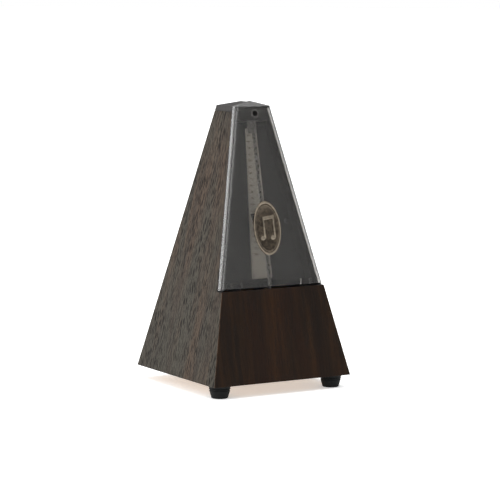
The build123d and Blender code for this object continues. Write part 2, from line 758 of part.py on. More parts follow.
with BuildPart() as front_bridge:
    bridge_back = front_face.offset(-BRIDGE_BACK)
    block(bridge_back, 0, PIVOT_HEIGHT, 2 * PLATE_X, 2 * BRIDGE_HALF, BRIDGE_BACK - BRIDGE_FRONT)
    verge_bore = VERGE_RADIUS + RUNNING_GAP
    disc(bridge_back, verge_bore, BRIDGE_BACK - BRIDGE_FRONT, at=(0, PIVOT_HEIGHT), mode=Mode.SUBTRACT)
    for end in (-1, 1):
        disc(
            across(end * PLATE_X, *front_bridge_end),
            BRIDGE_SCREW_RADIUS,
            -end * BRIDGE_SCREW_DEPTH,
            mode=Mode.SUBTRACT,
        )
save(front_bridge, "front_bridge")

with BuildPart() as rear_cock:
    cock_back = front_face.offset(-COCK_BACK)
    cock_middle_x = (PLATE_X + COCK_END_X) / 2
    cock_width = PLATE_X - COCK_END_X
    block(cock_back, cock_middle_x, COCK_HEIGHT, cock_width, 2 * BRIDGE_HALF, COCK_BACK - COCK_FRONT)
    disc(cock_back, verge_bore, COCK_BACK - COCK_FRONT, at=(0, PIVOT_HEIGHT), mode=Mode.SUBTRACT)
    disc(across(PLATE_X, *rear_cock_end), BRIDGE_SCREW_RADIUS, -BRIDGE_SCREW_DEPTH, mode=Mode.SUBTRACT)
save(rear_cock, "rear_cock")

with BuildPart() as potence:
    potence_back = front_face.offset(-POTENCE_BACK)
    block(
        potence_back,
        POTENCE_X + POTENCE_THICKNESS / 2,
        PIVOT_HEIGHT,
        POTENCE_THICKNESS,
        2 * BRIDGE_HALF,
        POTENCE_BACK - BRIDGE_BACK,
    )
    disc(
        across(POTENCE_X, *escape_centre),
        VERGE_RADIUS + RUNNING_GAP,
        POTENCE_THICKNESS,
        mode=Mode.SUBTRACT,
    )
save(potence, "potence")

with BuildPart() as potence_pillar:
    disc(across(-PLATE_X, *potence_pillar_end), POTENCE_PILLAR_RADIUS, PLATE_X + POTENCE_X)
    disc(
        across(-PLATE_X, *potence_pillar_end),
        BRIDGE_SCREW_RADIUS,
        BRIDGE_SCREW_DEPTH,
        mode=Mode.SUBTRACT,
    )
save(potence_pillar, "potence_pillar")

with BuildPart() as bridge_screws:
    bridge_fixings = [
        (-1, front_bridge_end),
        (1, front_bridge_end),
        (1, rear_cock_end),
        (-1, potence_pillar_end),
    ]
    for end, place in bridge_fixings:
        head = across(end * PLATE_OUTSIDE, *place)
        disc(head, BRIDGE_SCREW_HEAD, end * BRIDGE_SCREW_HEAD_HEIGHT)
        disc(head, BRIDGE_SCREW_RADIUS, -end * (PLATE_THICKNESS + BRIDGE_SCREW_DEPTH))
save(bridge_screws, "bridge_screws")

with BuildPart() as bracket_screws:
    bracket_top = Plane.XY.offset(BASE_TOP + PLATE_THICKNESS)
    for place in bracket_places:
        disc(bracket_top, BASE_SCREW_HEAD, BASE_SCREW_HEAD_DEPTH, at=place)
        disc(bracket_top, BRACKET_SCREW_RADIUS, -PLATE_THICKNESS - BASE_THICKNESS, at=place)
save(bracket_screws, "bracket_screws")

# ---------------------------------------------------------------- pendulum

HUB_RADIUS = 4.5
HUB_BACK = 8.5
HUB_FRONT = 4.8
VERGE_FRONT = 6.0
VERGE_BACK = 50.6
PALLET_LENGTH = 2.2
PALLET_COLLAR = 2.2
PALLET_REACH = 4.5
PALLET_LEFT = -1.3
PALLET_THICKNESS = 1.0
PALLET_INSET = 0.5
NOTCH_COUNT = 39
NOTCH_SPACING = 2.3
NOTCH_WIDTH = 0.8
NOTCH_DEPTH = 0.25
NOTCH_TOP_INSET = 2.0

rod_back = front_face.offset(-ROD_DEPTH - ROD_THICKNESS / 2)
bob_height = PIVOT_HEIGHT - BOB_DROP

with BuildPart() as pendulum_rod:
    rod_middle = (ROD_TOP + ROD_BOTTOM) / 2
    block(rod_back, 0, rod_middle, ROD_WIDTH, ROD_TOP - ROD_BOTTOM, ROD_THICKNESS)
    with BuildSketch(rod_back):
        notch_middle = ROD_TOP - NOTCH_TOP_INSET - NOTCH_COUNT * NOTCH_SPACING / 2
        with Locations((ROD_WIDTH / 2, notch_middle)):
            with GridLocations(1, NOTCH_SPACING, 1, NOTCH_COUNT):
                Rectangle(2 * NOTCH_DEPTH, NOTCH_WIDTH)
    extrude(amount=ROD_THICKNESS, mode=Mode.SUBTRACT)
save(pendulum_rod, "pendulum_rod")

with BuildPart() as pendulum_hub:
    hub_back = front_face.offset(-HUB_BACK)
    disc(hub_back, HUB_RADIUS, HUB_BACK - HUB_FRONT, at=(0, PIVOT_HEIGHT))
    disc(hub_back, VERGE_RADIUS, HUB_BACK - VERGE_FRONT, at=(0, PIVOT_HEIGHT), mode=Mode.SUBTRACT)
    block(rod_back, 0, PIVOT_HEIGHT, ROD_WIDTH, 4 * HUB_RADIUS, 2 * ROD_THICKNESS, mode=Mode.SUBTRACT)
save(pendulum_hub, "pendulum_hub")

with BuildPart() as lower_bob:
    bob_back = front_face.offset(-HUB_FRONT - BOB_THICKNESS)
    disc(bob_back, BOB_RADIUS, BOB_THICKNESS, at=(0, bob_height))
    chamfer(lower_bob.edges().filter_by(GeomType.CIRCLE), BOB_EDGE)
    groove_middle = ROD_BOTTOM + 2 * BOB_RADIUS
    block(rod_back, 0, groove_middle, ROD_WIDTH, 4 * BOB_RADIUS, 2 * ROD_THICKNESS, mode=Mode.SUBTRACT)
save(lower_bob, "lower_bob")

with BuildPart() as verge_arbor:
    disc(front_face.offset(-VERGE_BACK), VERGE_RADIUS, VERGE_BACK - VERGE_FRONT, at=(0, PIVOT_HEIGHT))
save(verge_arbor, "verge_arbor")


def pallet(name, depth, direction):
    """A collar on the verge with one flat pallet standing up or down from it."""
    back = front_face.offset(-depth - PALLET_LENGTH / 2)
    with BuildPart() as piece:
        disc(back, PALLET_COLLAR, PALLET_LENGTH, at=(0, PIVOT_HEIGHT))
        flag_x = PALLET_LEFT + PALLET_THICKNESS / 2
        flag_v = PIVOT_HEIGHT + direction * PALLET_REACH / 2
        block(back, flag_x, flag_v, PALLET_THICKNESS, PALLET_REACH, PALLET_LENGTH)
        block(
            back,
            PALLET_LEFT - PALLET_COLLAR / 2,
            PIVOT_HEIGHT,
            PALLET_COLLAR,
            2 * PALLET_COLLAR,
            PALLET_LENGTH,
            mode=Mode.SUBTRACT,
        )
        disc(back, VERGE_RADIUS, PALLET_LENGTH, at=(0, PIVOT_HEIGHT), mode=Mode.SUBTRACT)
    save(piece, name)


pallet("front_pallet", CROWN_DEPTH - CROWN_RADIUS + PALLET_INSET, 1)
pallet("rear_pallet", CROWN_DEPTH + CROWN_RADIUS - PALLET_INSET, -1)

# ---------------------------------------------------------------- sliding tempo weight

WEIGHT_TOP_WIDTH = 19.0
WEIGHT_BOTTOM_WIDTH = 13.0
WEIGHT_HEIGHT = 15.0
WEIGHT_FRONT = 3.6
WEIGHT_BACK = 6.1
WEIGHT_SLOT_GAP = 0.1
WEIGHT_EDGE = 0.5
GRIP_SPRING_LENGTH = 10.0

with BuildPart() as tempo_weight:
    low = WEIGHT_REST_HEIGHT - WEIGHT_HEIGHT / 2
    high = WEIGHT_REST_HEIGHT + WEIGHT_HEIGHT / 2
    weight_outline = [
        (-WEIGHT_BOTTOM_WIDTH / 2, low),
        (WEIGHT_BOTTOM_WIDTH / 2, low),
        (WEIGHT_TOP_WIDTH / 2, high),
        (-WEIGHT_TOP_WIDTH / 2, high),
    ]
    weight_back = front_face.offset(-WEIGHT_BACK)
    prism(weight_back, weight_outline, WEIGHT_BACK - WEIGHT_FRONT)
    chamfer(tempo_weight.faces().sort_by(Axis.Y)[0].edges(), WEIGHT_EDGE)
    slot_front = ROD_DEPTH - ROD_THICKNESS / 2 - WEIGHT_SLOT_GAP
    slot_width = ROD_WIDTH + 2 * WEIGHT_SLOT_GAP
    slot_depth = WEIGHT_BACK - slot_front
    block(weight_back, 0, WEIGHT_REST_HEIGHT, slot_width, 2 * WEIGHT_HEIGHT, slot_depth, mode=Mode.SUBTRACT)
save(tempo_weight, "tempo_weight")

with BuildPart() as weight_spring:
    spring_thickness = slot_depth - ROD_THICKNESS - 2 * WEIGHT_SLOT_GAP
    block(weight_back, 0, WEIGHT_REST_HEIGHT, slot_width, GRIP_SPRING_LENGTH, spring_thickness)
save(weight_spring, "weight_spring")

# ---------------------------------------------------------------- escape wheel and its arbor

CROWN_BACK_X = -8.0
CROWN_DISC = 1.2
CROWN_RIM = 1.2
CROWN_TOOTH_DEPTH = 3.4
CROWN_TOOTH_LAND = 0.35
CROWN_WINDOW_AT = 6.8
CROWN_WINDOW_RADIUS = 2.7
WINDOW_COUNT = 5
CUT_MARGIN = 1.0
COLLET_RADIUS = 2.6
COLLET_OVERHANG = 1.0
ARBOR_END_X = -5.0
ESCAPE_PINION_X = -22.5
ESCAPE_PINION_LENGTH = 8.0

with BuildPart() as crown_wheel:
    crown_plane = across(CROWN_BACK_X, *escape_centre)
    disc(crown_plane, CROWN_RADIUS, CROWN_TOOTH_TIP_X - CROWN_BACK_X)
    inside = CROWN_RADIUS - CROWN_RIM
    crown_floor = crown_plane.offset(CROWN_DISC)
    disc(crown_floor, inside, CROWN_TOOTH_TIP_X - CROWN_BACK_X, mode=Mode.SUBTRACT)
    disc(crown_plane, COLLET_RADIUS, CROWN_DISC, mode=Mode.SUBTRACT)
    with BuildSketch(crown_plane):
        with PolarLocations(CROWN_WINDOW_AT, WINDOW_COUNT):
            Circle(CROWN_WINDOW_RADIUS)
    extrude(amount=CROWN_DISC, mode=Mode.SUBTRACT)
    tooth_pitch = 2 * pi * CROWN_RADIUS / CROWN_TEETH
    gullet = [
        (CROWN_TOOTH_LAND, CUT_MARGIN),
        (CROWN_TOOTH_LAND, -CROWN_TOOTH_DEPTH),
        (tooth_pitch - CROWN_TOOTH_LAND, 0),
        (tooth_pitch - CROWN_TOOTH_LAND, CUT_MARGIN),
    ]
    for tooth in range(CROWN_TEETH):
        turn = 2 * pi * tooth / CROWN_TEETH
        radial = (0, cos(turn), sin(turn))
        tangent = (0, -sin(turn), cos(turn))
        y, z = step_from(escape_centre, turn, inside - CUT_MARGIN)
        tooth_plane = Plane(origin=(CROWN_TOOTH_TIP_X, y, z), x_dir=tangent, z_dir=radial)
        prism(tooth_plane, gullet, CROWN_RIM + 2 * CUT_MARGIN, mode=Mode.SUBTRACT)
save(crown_wheel, "crown_wheel")

with BuildPart() as crown_collet:
    collet_plane = crown_plane.offset(-COLLET_OVERHANG)
    collet_length = CROWN_DISC + 2 * COLLET_OVERHANG
    disc(collet_plane, COLLET_RADIUS, collet_length)
    disc(collet_plane, VERGE_RADIUS, collet_length, mode=Mode.SUBTRACT)
save(crown_collet, "crown_collet")

PLAY = 0.15

with BuildPart() as escape_arbor:
    disc(across(-PLATE_OUTSIDE, *escape_centre), PIVOT_RADIUS, PLATE_OUTSIDE + POTENCE_X)
    disc(across(-PLATE_X + PLAY, *escape_centre), ARBOR_RADIUS, PLATE_X + POTENCE_X - 2 * PLAY)
    disc(across(POTENCE_X - PLAY, *escape_centre), VERGE_RADIUS, ARBOR_END_X - POTENCE_X + PLAY)
    pinion = gear_outline(ESCAPE_PINION_TEETH, FINE_MODULE, ESCAPE_TO_SECOND)
    prism(across(ESCAPE_PINION_X, *escape_centre), pinion, ESCAPE_PINION_LENGTH)
save(escape_arbor, "escape_arbor")

# ---------------------------------------------------------------- second wheel and its arbor

SECOND_WHEEL_X = -21.0
SECOND_WHEEL_THICKNESS = 2.5
SECOND_PINION_X = 2.0
SECOND_PINION_LENGTH = 5.0
SECOND_WINDOW_AT = 7.6
SECOND_WINDOW_RADIUS = 3.0

with BuildPart() as second_wheel:
    mesh_angle = ESCAPE_TO_SECOND + pi + pi / SECOND_WHEEL_TEETH
    wheel_plane = across(SECOND_WHEEL_X, *second_centre)
    prism(wheel_plane, gear_outline(SECOND_WHEEL_TEETH, FINE_MODULE, mesh_angle), SECOND_WHEEL_THICKNESS)
    disc(wheel_plane, ARBOR_RADIUS, SECOND_WHEEL_THICKNESS, mode=Mode.SUBTRACT)
    with BuildSketch(wheel_plane):
        with PolarLocations(SECOND_WINDOW_AT, WINDOW_COUNT):
            Circle(SECOND_WINDOW_RADIUS)
    extrude(amount=SECOND_WHEEL_THICKNESS, mode=Mode.SUBTRACT)
save(second_wheel, "second_wheel")

with BuildPart() as second_arbor:
    disc(across(-PLATE_OUTSIDE, *second_centre), PIVOT_RADIUS, 2 * PLATE_OUTSIDE)
    disc(across(-PLATE_X + PLAY, *second_centre), ARBOR_RADIUS, 2 * (PLATE_X - PLAY))
    pinion = gear_outline(SECOND_PINION_TEETH, COARSE_MODULE, SECOND_TO_BARREL)
    prism(across(SECOND_PINION_X, *second_centre), pinion, SECOND_PINION_LENGTH)
save(second_arbor, "second_arbor")

# ---------------------------------------------------------------- mainspring barrel

BARREL_X = 3.0
BARREL_FLOOR = 2.5
BARREL_RADIUS = 17.5
BARREL_WALL = 1.3
BARREL_DEPTH = 17.5
COVER_THICKNESS = 1.5
CORE_RADIUS = 4.2
SPRING_TURNS = 9
SPRING_INNER = 5.0
SPRING_PITCH = 1.15
SPRING_STRIP = 0.5
SPRING_END_GAP = 0.5

with BuildPart() as mainspring_barrel:
    barrel_plane = across(BARREL_X, *barrel_centre)
    barrel_mesh = SECOND_TO_BARREL + pi + pi / BARREL_TEETH
    prism(barrel_plane, gear_outline(BARREL_TEETH, COARSE_MODULE, barrel_mesh), BARREL_FLOOR)
    disc(barrel_plane, BARREL_RADIUS, BARREL_DEPTH)
    spring_space = BARREL_RADIUS - BARREL_WALL
    disc(barrel_plane.offset(BARREL_FLOOR), spring_space, BARREL_DEPTH, mode=Mode.SUBTRACT)
    disc(barrel_plane, WINDING_ARBOR_RADIUS + RUNNING_GAP, BARREL_FLOOR, mode=Mode.SUBTRACT)
save(mainspring_barrel, "mainspring_barrel")

with BuildPart() as barrel_cover:
    cover_plane = barrel_plane.offset(BARREL_DEPTH)
    disc(cover_plane, BARREL_RADIUS, COVER_THICKNESS)
    disc(cover_plane, WINDING_ARBOR_RADIUS + RUNNING_GAP, COVER_THICKNESS, mode=Mode.SUBTRACT)
save(barrel_cover, "barrel_cover")


def spiral(offset):
    """Half-circle arcs of a spiral, moved outward by an offset."""
    arcs = []
    for half in range(2 * SPRING_TURNS):
        middle = 0 if half % 2 == 0 else SPRING_PITCH / 2
        radius = SPRING_INNER + SPRING_PITCH * half / 2 + offset
        arcs.append(CenterArc((middle, 0), radius, 180 * (half % 2), 180))
    return arcs


with BuildPart() as mainspring:
    spring_plane = barrel_plane.offset(BARREL_FLOOR + SPRING_END_GAP)
    with BuildSketch(spring_plane):
        with BuildLine():
            inner_arcs = spiral(0)
            outer_arcs = spiral(SPRING_STRIP)
            Line(inner_arcs[0] @ 0, outer_arcs[0] @ 0)
            Line(inner_arcs[-1] @ 1, outer_arcs[-1] @ 1)
        make_face()
    extrude(amount=BARREL_DEPTH - BARREL_FLOOR - 2 * SPRING_END_GAP)
save(mainspring, "mainspring")

# ---------------------------------------------------------------- winding arbor, ratchet, click and key

SHAFT_RADIUS = 2.2
SHAFT_END_X = 62.0
KEY_START_X = 54.2
KEY_SHANK_END_X = 64.0
KEY_SHANK_RADIUS = 3.6
KEY_WING_X = 65.5
KEY_LOBE_OFFSET = 6.8
KEY_LOBE_RADIUS = 6.0
KEY_WING_THICKNESS = 2.4
KEY_BRIDGE_WIDTH = 7.0
KEY_BRIDGE_SHIFT = 1.0
ESCUTCHEON_RADIUS = 9.0
ESCUTCHEON_THICKNESS = 1.0
CLICK_TIP_RADIUS = 9.35
CLICK_TIP_ANGLE = radians(125)
CLICK_BOSS = 2.4
CLICK_TIP_WIDTH = 1.6
CLICK_ARM_TAPER = 1.2
CLICK_SCREW_HEAD_HEIGHT = 1.4

with BuildPart() as winding_arbor:
    core_start = BARREL_X + BARREL_FLOOR + PLAY
    core_end = BARREL_X + BARREL_DEPTH - PLAY
    ratchet_end = RATCHET_START + RATCHET_THICKNESS
    disc(across(-PLATE_OUTSIDE, *barrel_centre), ARBOR_END_RADIUS, PLATE_OUTSIDE)
    disc(across(0, *barrel_centre), WINDING_ARBOR_RADIUS, RATCHET_START)
    disc(across(core_start, *barrel_centre), CORE_RADIUS, core_end - core_start)
    disc(across(RATCHET_START, *barrel_centre), SHAFT_RADIUS, SHAFT_END_X - RATCHET_START)
save(winding_arbor, "winding_arbor")

with BuildPart() as ratchet_wheel:
    ratchet_plane = across(RATCHET_START, *barrel_centre)
    prism(ratchet_plane, saw_outline(RATCHET_TEETH, RATCHET_RADIUS, RATCHET_DEPTH), RATCHET_THICKNESS)
    disc(ratchet_plane, SHAFT_RADIUS, RATCHET_THICKNESS, mode=Mode.SUBTRACT)
save(ratchet_wheel, "ratchet_wheel")

with BuildPart() as click:
    tip = step_from(barrel_centre, CLICK_TIP_ANGLE, CLICK_TIP_RADIUS)
    tip_dy = tip[0] - click_centre[0]
    tip_dz = tip[1] - click_centre[1]
    click_plane = across(RATCHET_START, *click_centre)
    arm = [
        (0, CLICK_BOSS),
        (tip_dy, tip_dz + CLICK_TIP_WIDTH),
        (tip_dy, tip_dz),
        (0, CLICK_ARM_TAPER - CLICK_BOSS),
    ]
    disc(click_plane, CLICK_BOSS, RATCHET_THICKNESS)
    prism(click_plane, arm, RATCHET_THICKNESS)
    disc(click_plane, CLICK_SCREW_RADIUS + RUNNING_GAP, RATCHET_THICKNESS, mode=Mode.SUBTRACT)
save(click, "click")

with BuildPart() as click_screw:
    click_top = RATCHET_START + RATCHET_THICKNESS + PLAY
    disc(across(PLATE_X, *click_centre), CLICK_SCREW_RADIUS, click_top - PLATE_X)
    disc(across(click_top, *click_centre), CLICK_BOSS, CLICK_SCREW_HEAD_HEIGHT)
save(click_screw, "click_screw")

SPRING_FOOT_AT = (9.0, 9.0)
SPRING_FOOT_SIZE = (5.0, 4.0)
LEAF_START_X = 0.6
LEAF_WIDTH = 1.6
leaf_outline = [(6.6, 7.4), (4.4, 2.0), (4.9, 2.0), (7.3, 7.4)]

with BuildPart() as click_spring:
    spring_base = across(PLATE_OUTSIDE, *click_centre)
    block(spring_base, *SPRING_FOOT_AT, *SPRING_FOOT_SIZE, RATCHET_THICKNESS)
    prism(spring_base.offset(LEAF_START_X), leaf_outline, LEAF_WIDTH)
save(click_spring, "click_spring")

with BuildPart() as winding_key:
    disc(across(KEY_START_X, *barrel_centre), KEY_SHANK_RADIUS, KEY_SHANK_END_X - KEY_START_X)
    with BuildSketch(Plane.XY.offset(key_z)):
        with Locations((KEY_WING_X, key_y - KEY_LOBE_OFFSET), (KEY_WING_X, key_y + KEY_LOBE_OFFSET)):
            Circle(KEY_LOBE_RADIUS)
        with Locations((KEY_WING_X - KEY_BRIDGE_SHIFT, key_y)):
            Rectangle(KEY_BRIDGE_WIDTH, 2 * KEY_LOBE_OFFSET)
    extrude(amount=KEY_WING_THICKNESS / 2, both=True)
    disc(across(KEY_START_X, *barrel_centre), SHAFT_RADIUS, SHAFT_END_X - KEY_START_X, mode=Mode.SUBTRACT)
save(winding_key, "winding_key")

with BuildPart() as key_escutcheon:
    right_face = Plane(
        origin=(half_width(key_z), key_y, key_z),
        x_dir=(0, 1, 0),
        z_dir=(cos(LEAN), 0, sin(LEAN)),
    )
    disc(right_face, ESCUTCHEON_RADIUS, ESCUTCHEON_THICKNESS)
    chamfer(key_escutcheon.faces().sort_by(Axis.X)[-1].edges(), ESCUTCHEON_THICKNESS / 2)
    disc(across(PLATE_X, *barrel_centre), KEY_HOLE_RADIUS, HALF_BASE, mode=Mode.SUBTRACT)
save(key_escutcheon, "key_escutcheon")
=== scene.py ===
"""Looks of the key-wound pyramid metronome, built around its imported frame.

Lengths are in metres.  The front is described in its own frame: x across, v up the slope from the
bottom edge of the front, n outward from the front surface.
"""

import json
import math

import bmesh
import bpy
from mathutils import Matrix, Vector

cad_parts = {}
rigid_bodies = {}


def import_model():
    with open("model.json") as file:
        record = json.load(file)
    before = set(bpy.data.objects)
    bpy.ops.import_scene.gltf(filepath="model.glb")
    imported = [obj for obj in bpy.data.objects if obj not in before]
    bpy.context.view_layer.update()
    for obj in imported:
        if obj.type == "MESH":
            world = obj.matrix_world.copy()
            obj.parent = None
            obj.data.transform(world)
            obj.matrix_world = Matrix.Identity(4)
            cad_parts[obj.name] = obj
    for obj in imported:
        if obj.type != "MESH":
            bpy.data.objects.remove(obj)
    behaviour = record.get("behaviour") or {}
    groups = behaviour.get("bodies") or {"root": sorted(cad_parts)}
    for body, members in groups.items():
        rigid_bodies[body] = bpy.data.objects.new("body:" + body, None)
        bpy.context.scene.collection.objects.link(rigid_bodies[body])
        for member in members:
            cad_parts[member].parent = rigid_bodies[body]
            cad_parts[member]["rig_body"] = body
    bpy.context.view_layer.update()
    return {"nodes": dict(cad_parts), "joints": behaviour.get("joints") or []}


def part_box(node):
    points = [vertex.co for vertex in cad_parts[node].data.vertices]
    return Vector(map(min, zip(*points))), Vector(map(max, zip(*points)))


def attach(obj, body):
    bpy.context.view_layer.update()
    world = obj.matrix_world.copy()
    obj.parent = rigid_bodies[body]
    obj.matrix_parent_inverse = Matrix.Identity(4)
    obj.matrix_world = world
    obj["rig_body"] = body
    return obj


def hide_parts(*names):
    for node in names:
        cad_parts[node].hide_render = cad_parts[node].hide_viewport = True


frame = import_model()

MM = 0.001

# ---------------------------------------------------------------- places read from the frame

front_low, front_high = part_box("front_plate")
panel_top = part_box("rear_panel")[1].z
HALF_BASE = front_high.x
FOOT_TOP = front_low.z
SLOPE = (HALF_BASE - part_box("top_cap")[1].x) / (panel_top - FOOT_TOP)
LEAN = math.atan(SLOPE)
UP_SLOPE = Vector((0, math.sin(LEAN), math.cos(LEAN)))
OUT_OF_FRONT = Vector((0, -math.cos(LEAN), math.sin(LEAN)))
FRONT_ORIGIN = Vector((0, -HALF_BASE, FOOT_TOP))


def front_point(x, v, n):
    """A point given in the front frame, in the row frame."""
    return FRONT_ORIGIN + Vector((x, 0, 0)) + UP_SLOPE * v + OUT_OF_FRONT * n


def centre(node):
    """The middle of a CAD node's box."""
    low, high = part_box(node)
    return (low + high) / 2


def front_height(point):
    """How far up the front's slope a point lies."""
    return (point - FRONT_ORIGIN).dot(UP_SLOPE)


# ---------------------------------------------------------------- material nodes


def srgb(red, green, blue):
    """A colour given as screen values, as the linear values that a shader takes."""
    linear = []
    for value in (red, green, blue):
        share = value / 255
        linear.append(share / 12.92 if share <= 0.04045 else ((share + 0.055) / 1.055) ** 2.4)
    return (*linear, 1.0)


def lit(tone, gain):
    """A linear colour made brighter by a factor, up to white."""
    return tuple(min(1.0, gain * value) for value in tone[:3]) + (1.0,)


class Look:
    """One material, with short calls for the nodes that its pattern uses."""

    def __init__(self, name, finish):
        self.material = bpy.data.materials.new(name)
        self.material.use_nodes = True
        self.tree = self.material.node_tree
        self.shader = self.tree.nodes["Principled BSDF"]
        for socket, value in finish.items():
            self.shader.inputs[socket].default_value = value
        self.place = self.add("ShaderNodeTexCoord").outputs["Object"]

    def add(self, kind, inputs=None, **settings):
        """Makes a node, with its settings and its inputs."""
        made = self.tree.nodes.new(kind)
        for key, value in settings.items():
            setattr(made, key, value)
        for key, value in (inputs or {}).items():
            self.feed(made.inputs[key], value)
        return made

    def feed(self, socket, value):
        """Sets an input to a value, or links it."""
        if isinstance(value, bpy.types.NodeSocket):
            self.tree.links.new(value, socket)
        else:
            socket.default_value = value

    def scaled(self, vector, scale):
        """A vector stretched along each axis."""
        return self.add("ShaderNodeMapping", {"Vector": vector, "Scale": scale}).outputs[0]

    def noise(self, vector, scale=(1, 1, 1), detail=3.0, roughness=0.5):
        """Cloudy noise, from 0 to 1."""
        inputs = {"Vector": self.scaled(vector, scale), "Scale": 1.0}
        inputs |= {"Detail": detail, "Roughness": roughness}
        return self.add("ShaderNodeTexNoise", inputs).outputs[0]

    def cells(self, vector, scale, flat=False):
        """Distance to the nearest of many scattered points."""
        kind = "2D" if flat else "3D"
        inputs = {"Vector": self.scaled(vector, scale), "Scale": 1.0}
        return self.add("ShaderNodeTexVoronoi", inputs, voronoi_dimensions=kind).outputs["Distance"]

    def span(self, value, low, high, to_low=0.0, to_high=1.0):
        """A smooth step from one value to another."""
        inputs = {"Value": value, "From Min": low, "From Max": high, "To Min": to_low, "To Max": to_high}
        return self.add("ShaderNodeMapRange", inputs, interpolation_type="SMOOTHSTEP").outputs[0]

    def math(self, operation, first, second=0.0):
        """Arithmetic on two values."""
        return self.add("ShaderNodeMath", {0: first, 1: second}, operation=operation).outputs[0]

    def blend(self, share, first, second):
        """A mix of two colours."""
        inputs = {0: share, 6: first, 7: second}
        return self.add("ShaderNodeMix", inputs, data_type="RGBA").outputs[2]

    def along(self, direction, start):
        """How far a point lies along a direction, counted from a start."""
        inputs = {0: self.place, 1: tuple(direction)}
        reach = self.add("ShaderNodeVectorMath", inputs, operation="DOT_PRODUCT").outputs["Value"]
        return self.math("SUBTRACT", reach, start)

    def behind_front(self):
        """How far a point lies behind the front's plane."""
        return self.along(-OUT_OF_FRONT, -FRONT_ORIGIN.dot(OUT_OF_FRONT))

    def inward(self, parts, axis):
        """How far a point lies inside the case's sloping side, across one axis."""
        drawn_in = self.math("MULTIPLY", self.math("SUBTRACT", parts["Z"], FOOT_TOP), SLOPE)
        half_width = self.math("SUBTRACT", HALF_BASE, drawn_in)
        return self.math("SUBTRACT", half_width, self.math("ABSOLUTE", parts[axis]))

    def edges(self, radius):
        """1 on sharp edges and corners, falling to 0 within a radius of them."""
        rounded = self.add("ShaderNodeBevel", {"Radius": radius}, samples=4).outputs[0]
        true = self.add("ShaderNodeNewGeometry").outputs["Normal"]
        likeness = self.add("ShaderNodeVectorMath", {0: rounded, 1: true}, operation="DOT_PRODUCT")
        return self.span(likeness.outputs["Value"], 0.99, 0.8)

    def surface(self, colour, roughness, height=None, depth=0.0):
        """Links the pattern to the shader.  depth is the relief's height, in metres."""
        self.feed(self.shader.inputs["Base Color"], colour)
        self.feed(self.shader.inputs["Roughness"], roughness)
        if height is not None:
            inputs = {"Strength": 1.0, "Distance": depth, "Height": height}
            relief = self.add("ShaderNodeBump", inputs)
            self.feed(self.shader.inputs["Normal"], relief.outputs[0])
        return self.material


# ---------------------------------------------------------------- wood

STAIN_DEPTH = 1.5 * MM
STAIN_FADE = 0.3 * MM
REBATE_DEPTH = 6.45 * MM
REBATE_FADE = 0.2 * MM
REBATE_FOOT = 0.5 * MM
ARRIS = (0.3 * MM, 1.1 * MM)
BLACK_STAIN = srgb(20, 19, 18)
# The sides' tones are lighter and greyer than the front's though all are the same wood: painted sheen on the
# sides.
SHEENED_SIDE_TONES = {
    "cool": srgb(59, 55, 46),
    "warm": srgb(68, 53, 40),
    "streak": srgb(41, 34, 27),
    "streak_share": 0.6,
    "pore": srgb(13, 9, 6),
    "rubbed": srgb(76, 63, 51),
}
SIDE_PORES = {
    "share": 0.95,
    "short_share": 0.5,
    "thread_share": 0.4,
    "streak_scale": 230,
    "roughness": 0.48,
    "depth": 0.14 * MM,
}
# Painted shade: the front's tones are darker than the sides' though they are the same wood.
SHADED_FRONT_TONES = {
    "cool": srgb(22, 14, 9),
    "warm": srgb(31, 17, 9),
    "streak": srgb(54, 34, 15),
    "streak_share": 0.45,
    "pore": srgb(13, 9, 7),
    "rubbed": srgb(56, 38, 25),
}
FRONT_PORES = {
    "share": 0.3,
    "short_share": 0.1,
    "thread_share": 0.2,
    "streak_scale": 140,
    "roughness": 0.4,
    "depth": 0.03 * MM,
}
OILED = {"Specular IOR Level": 0.13}
MATT = {"Specular IOR Level": 0.08}
LACQUER = {"Specular IOR Level": 0.17}


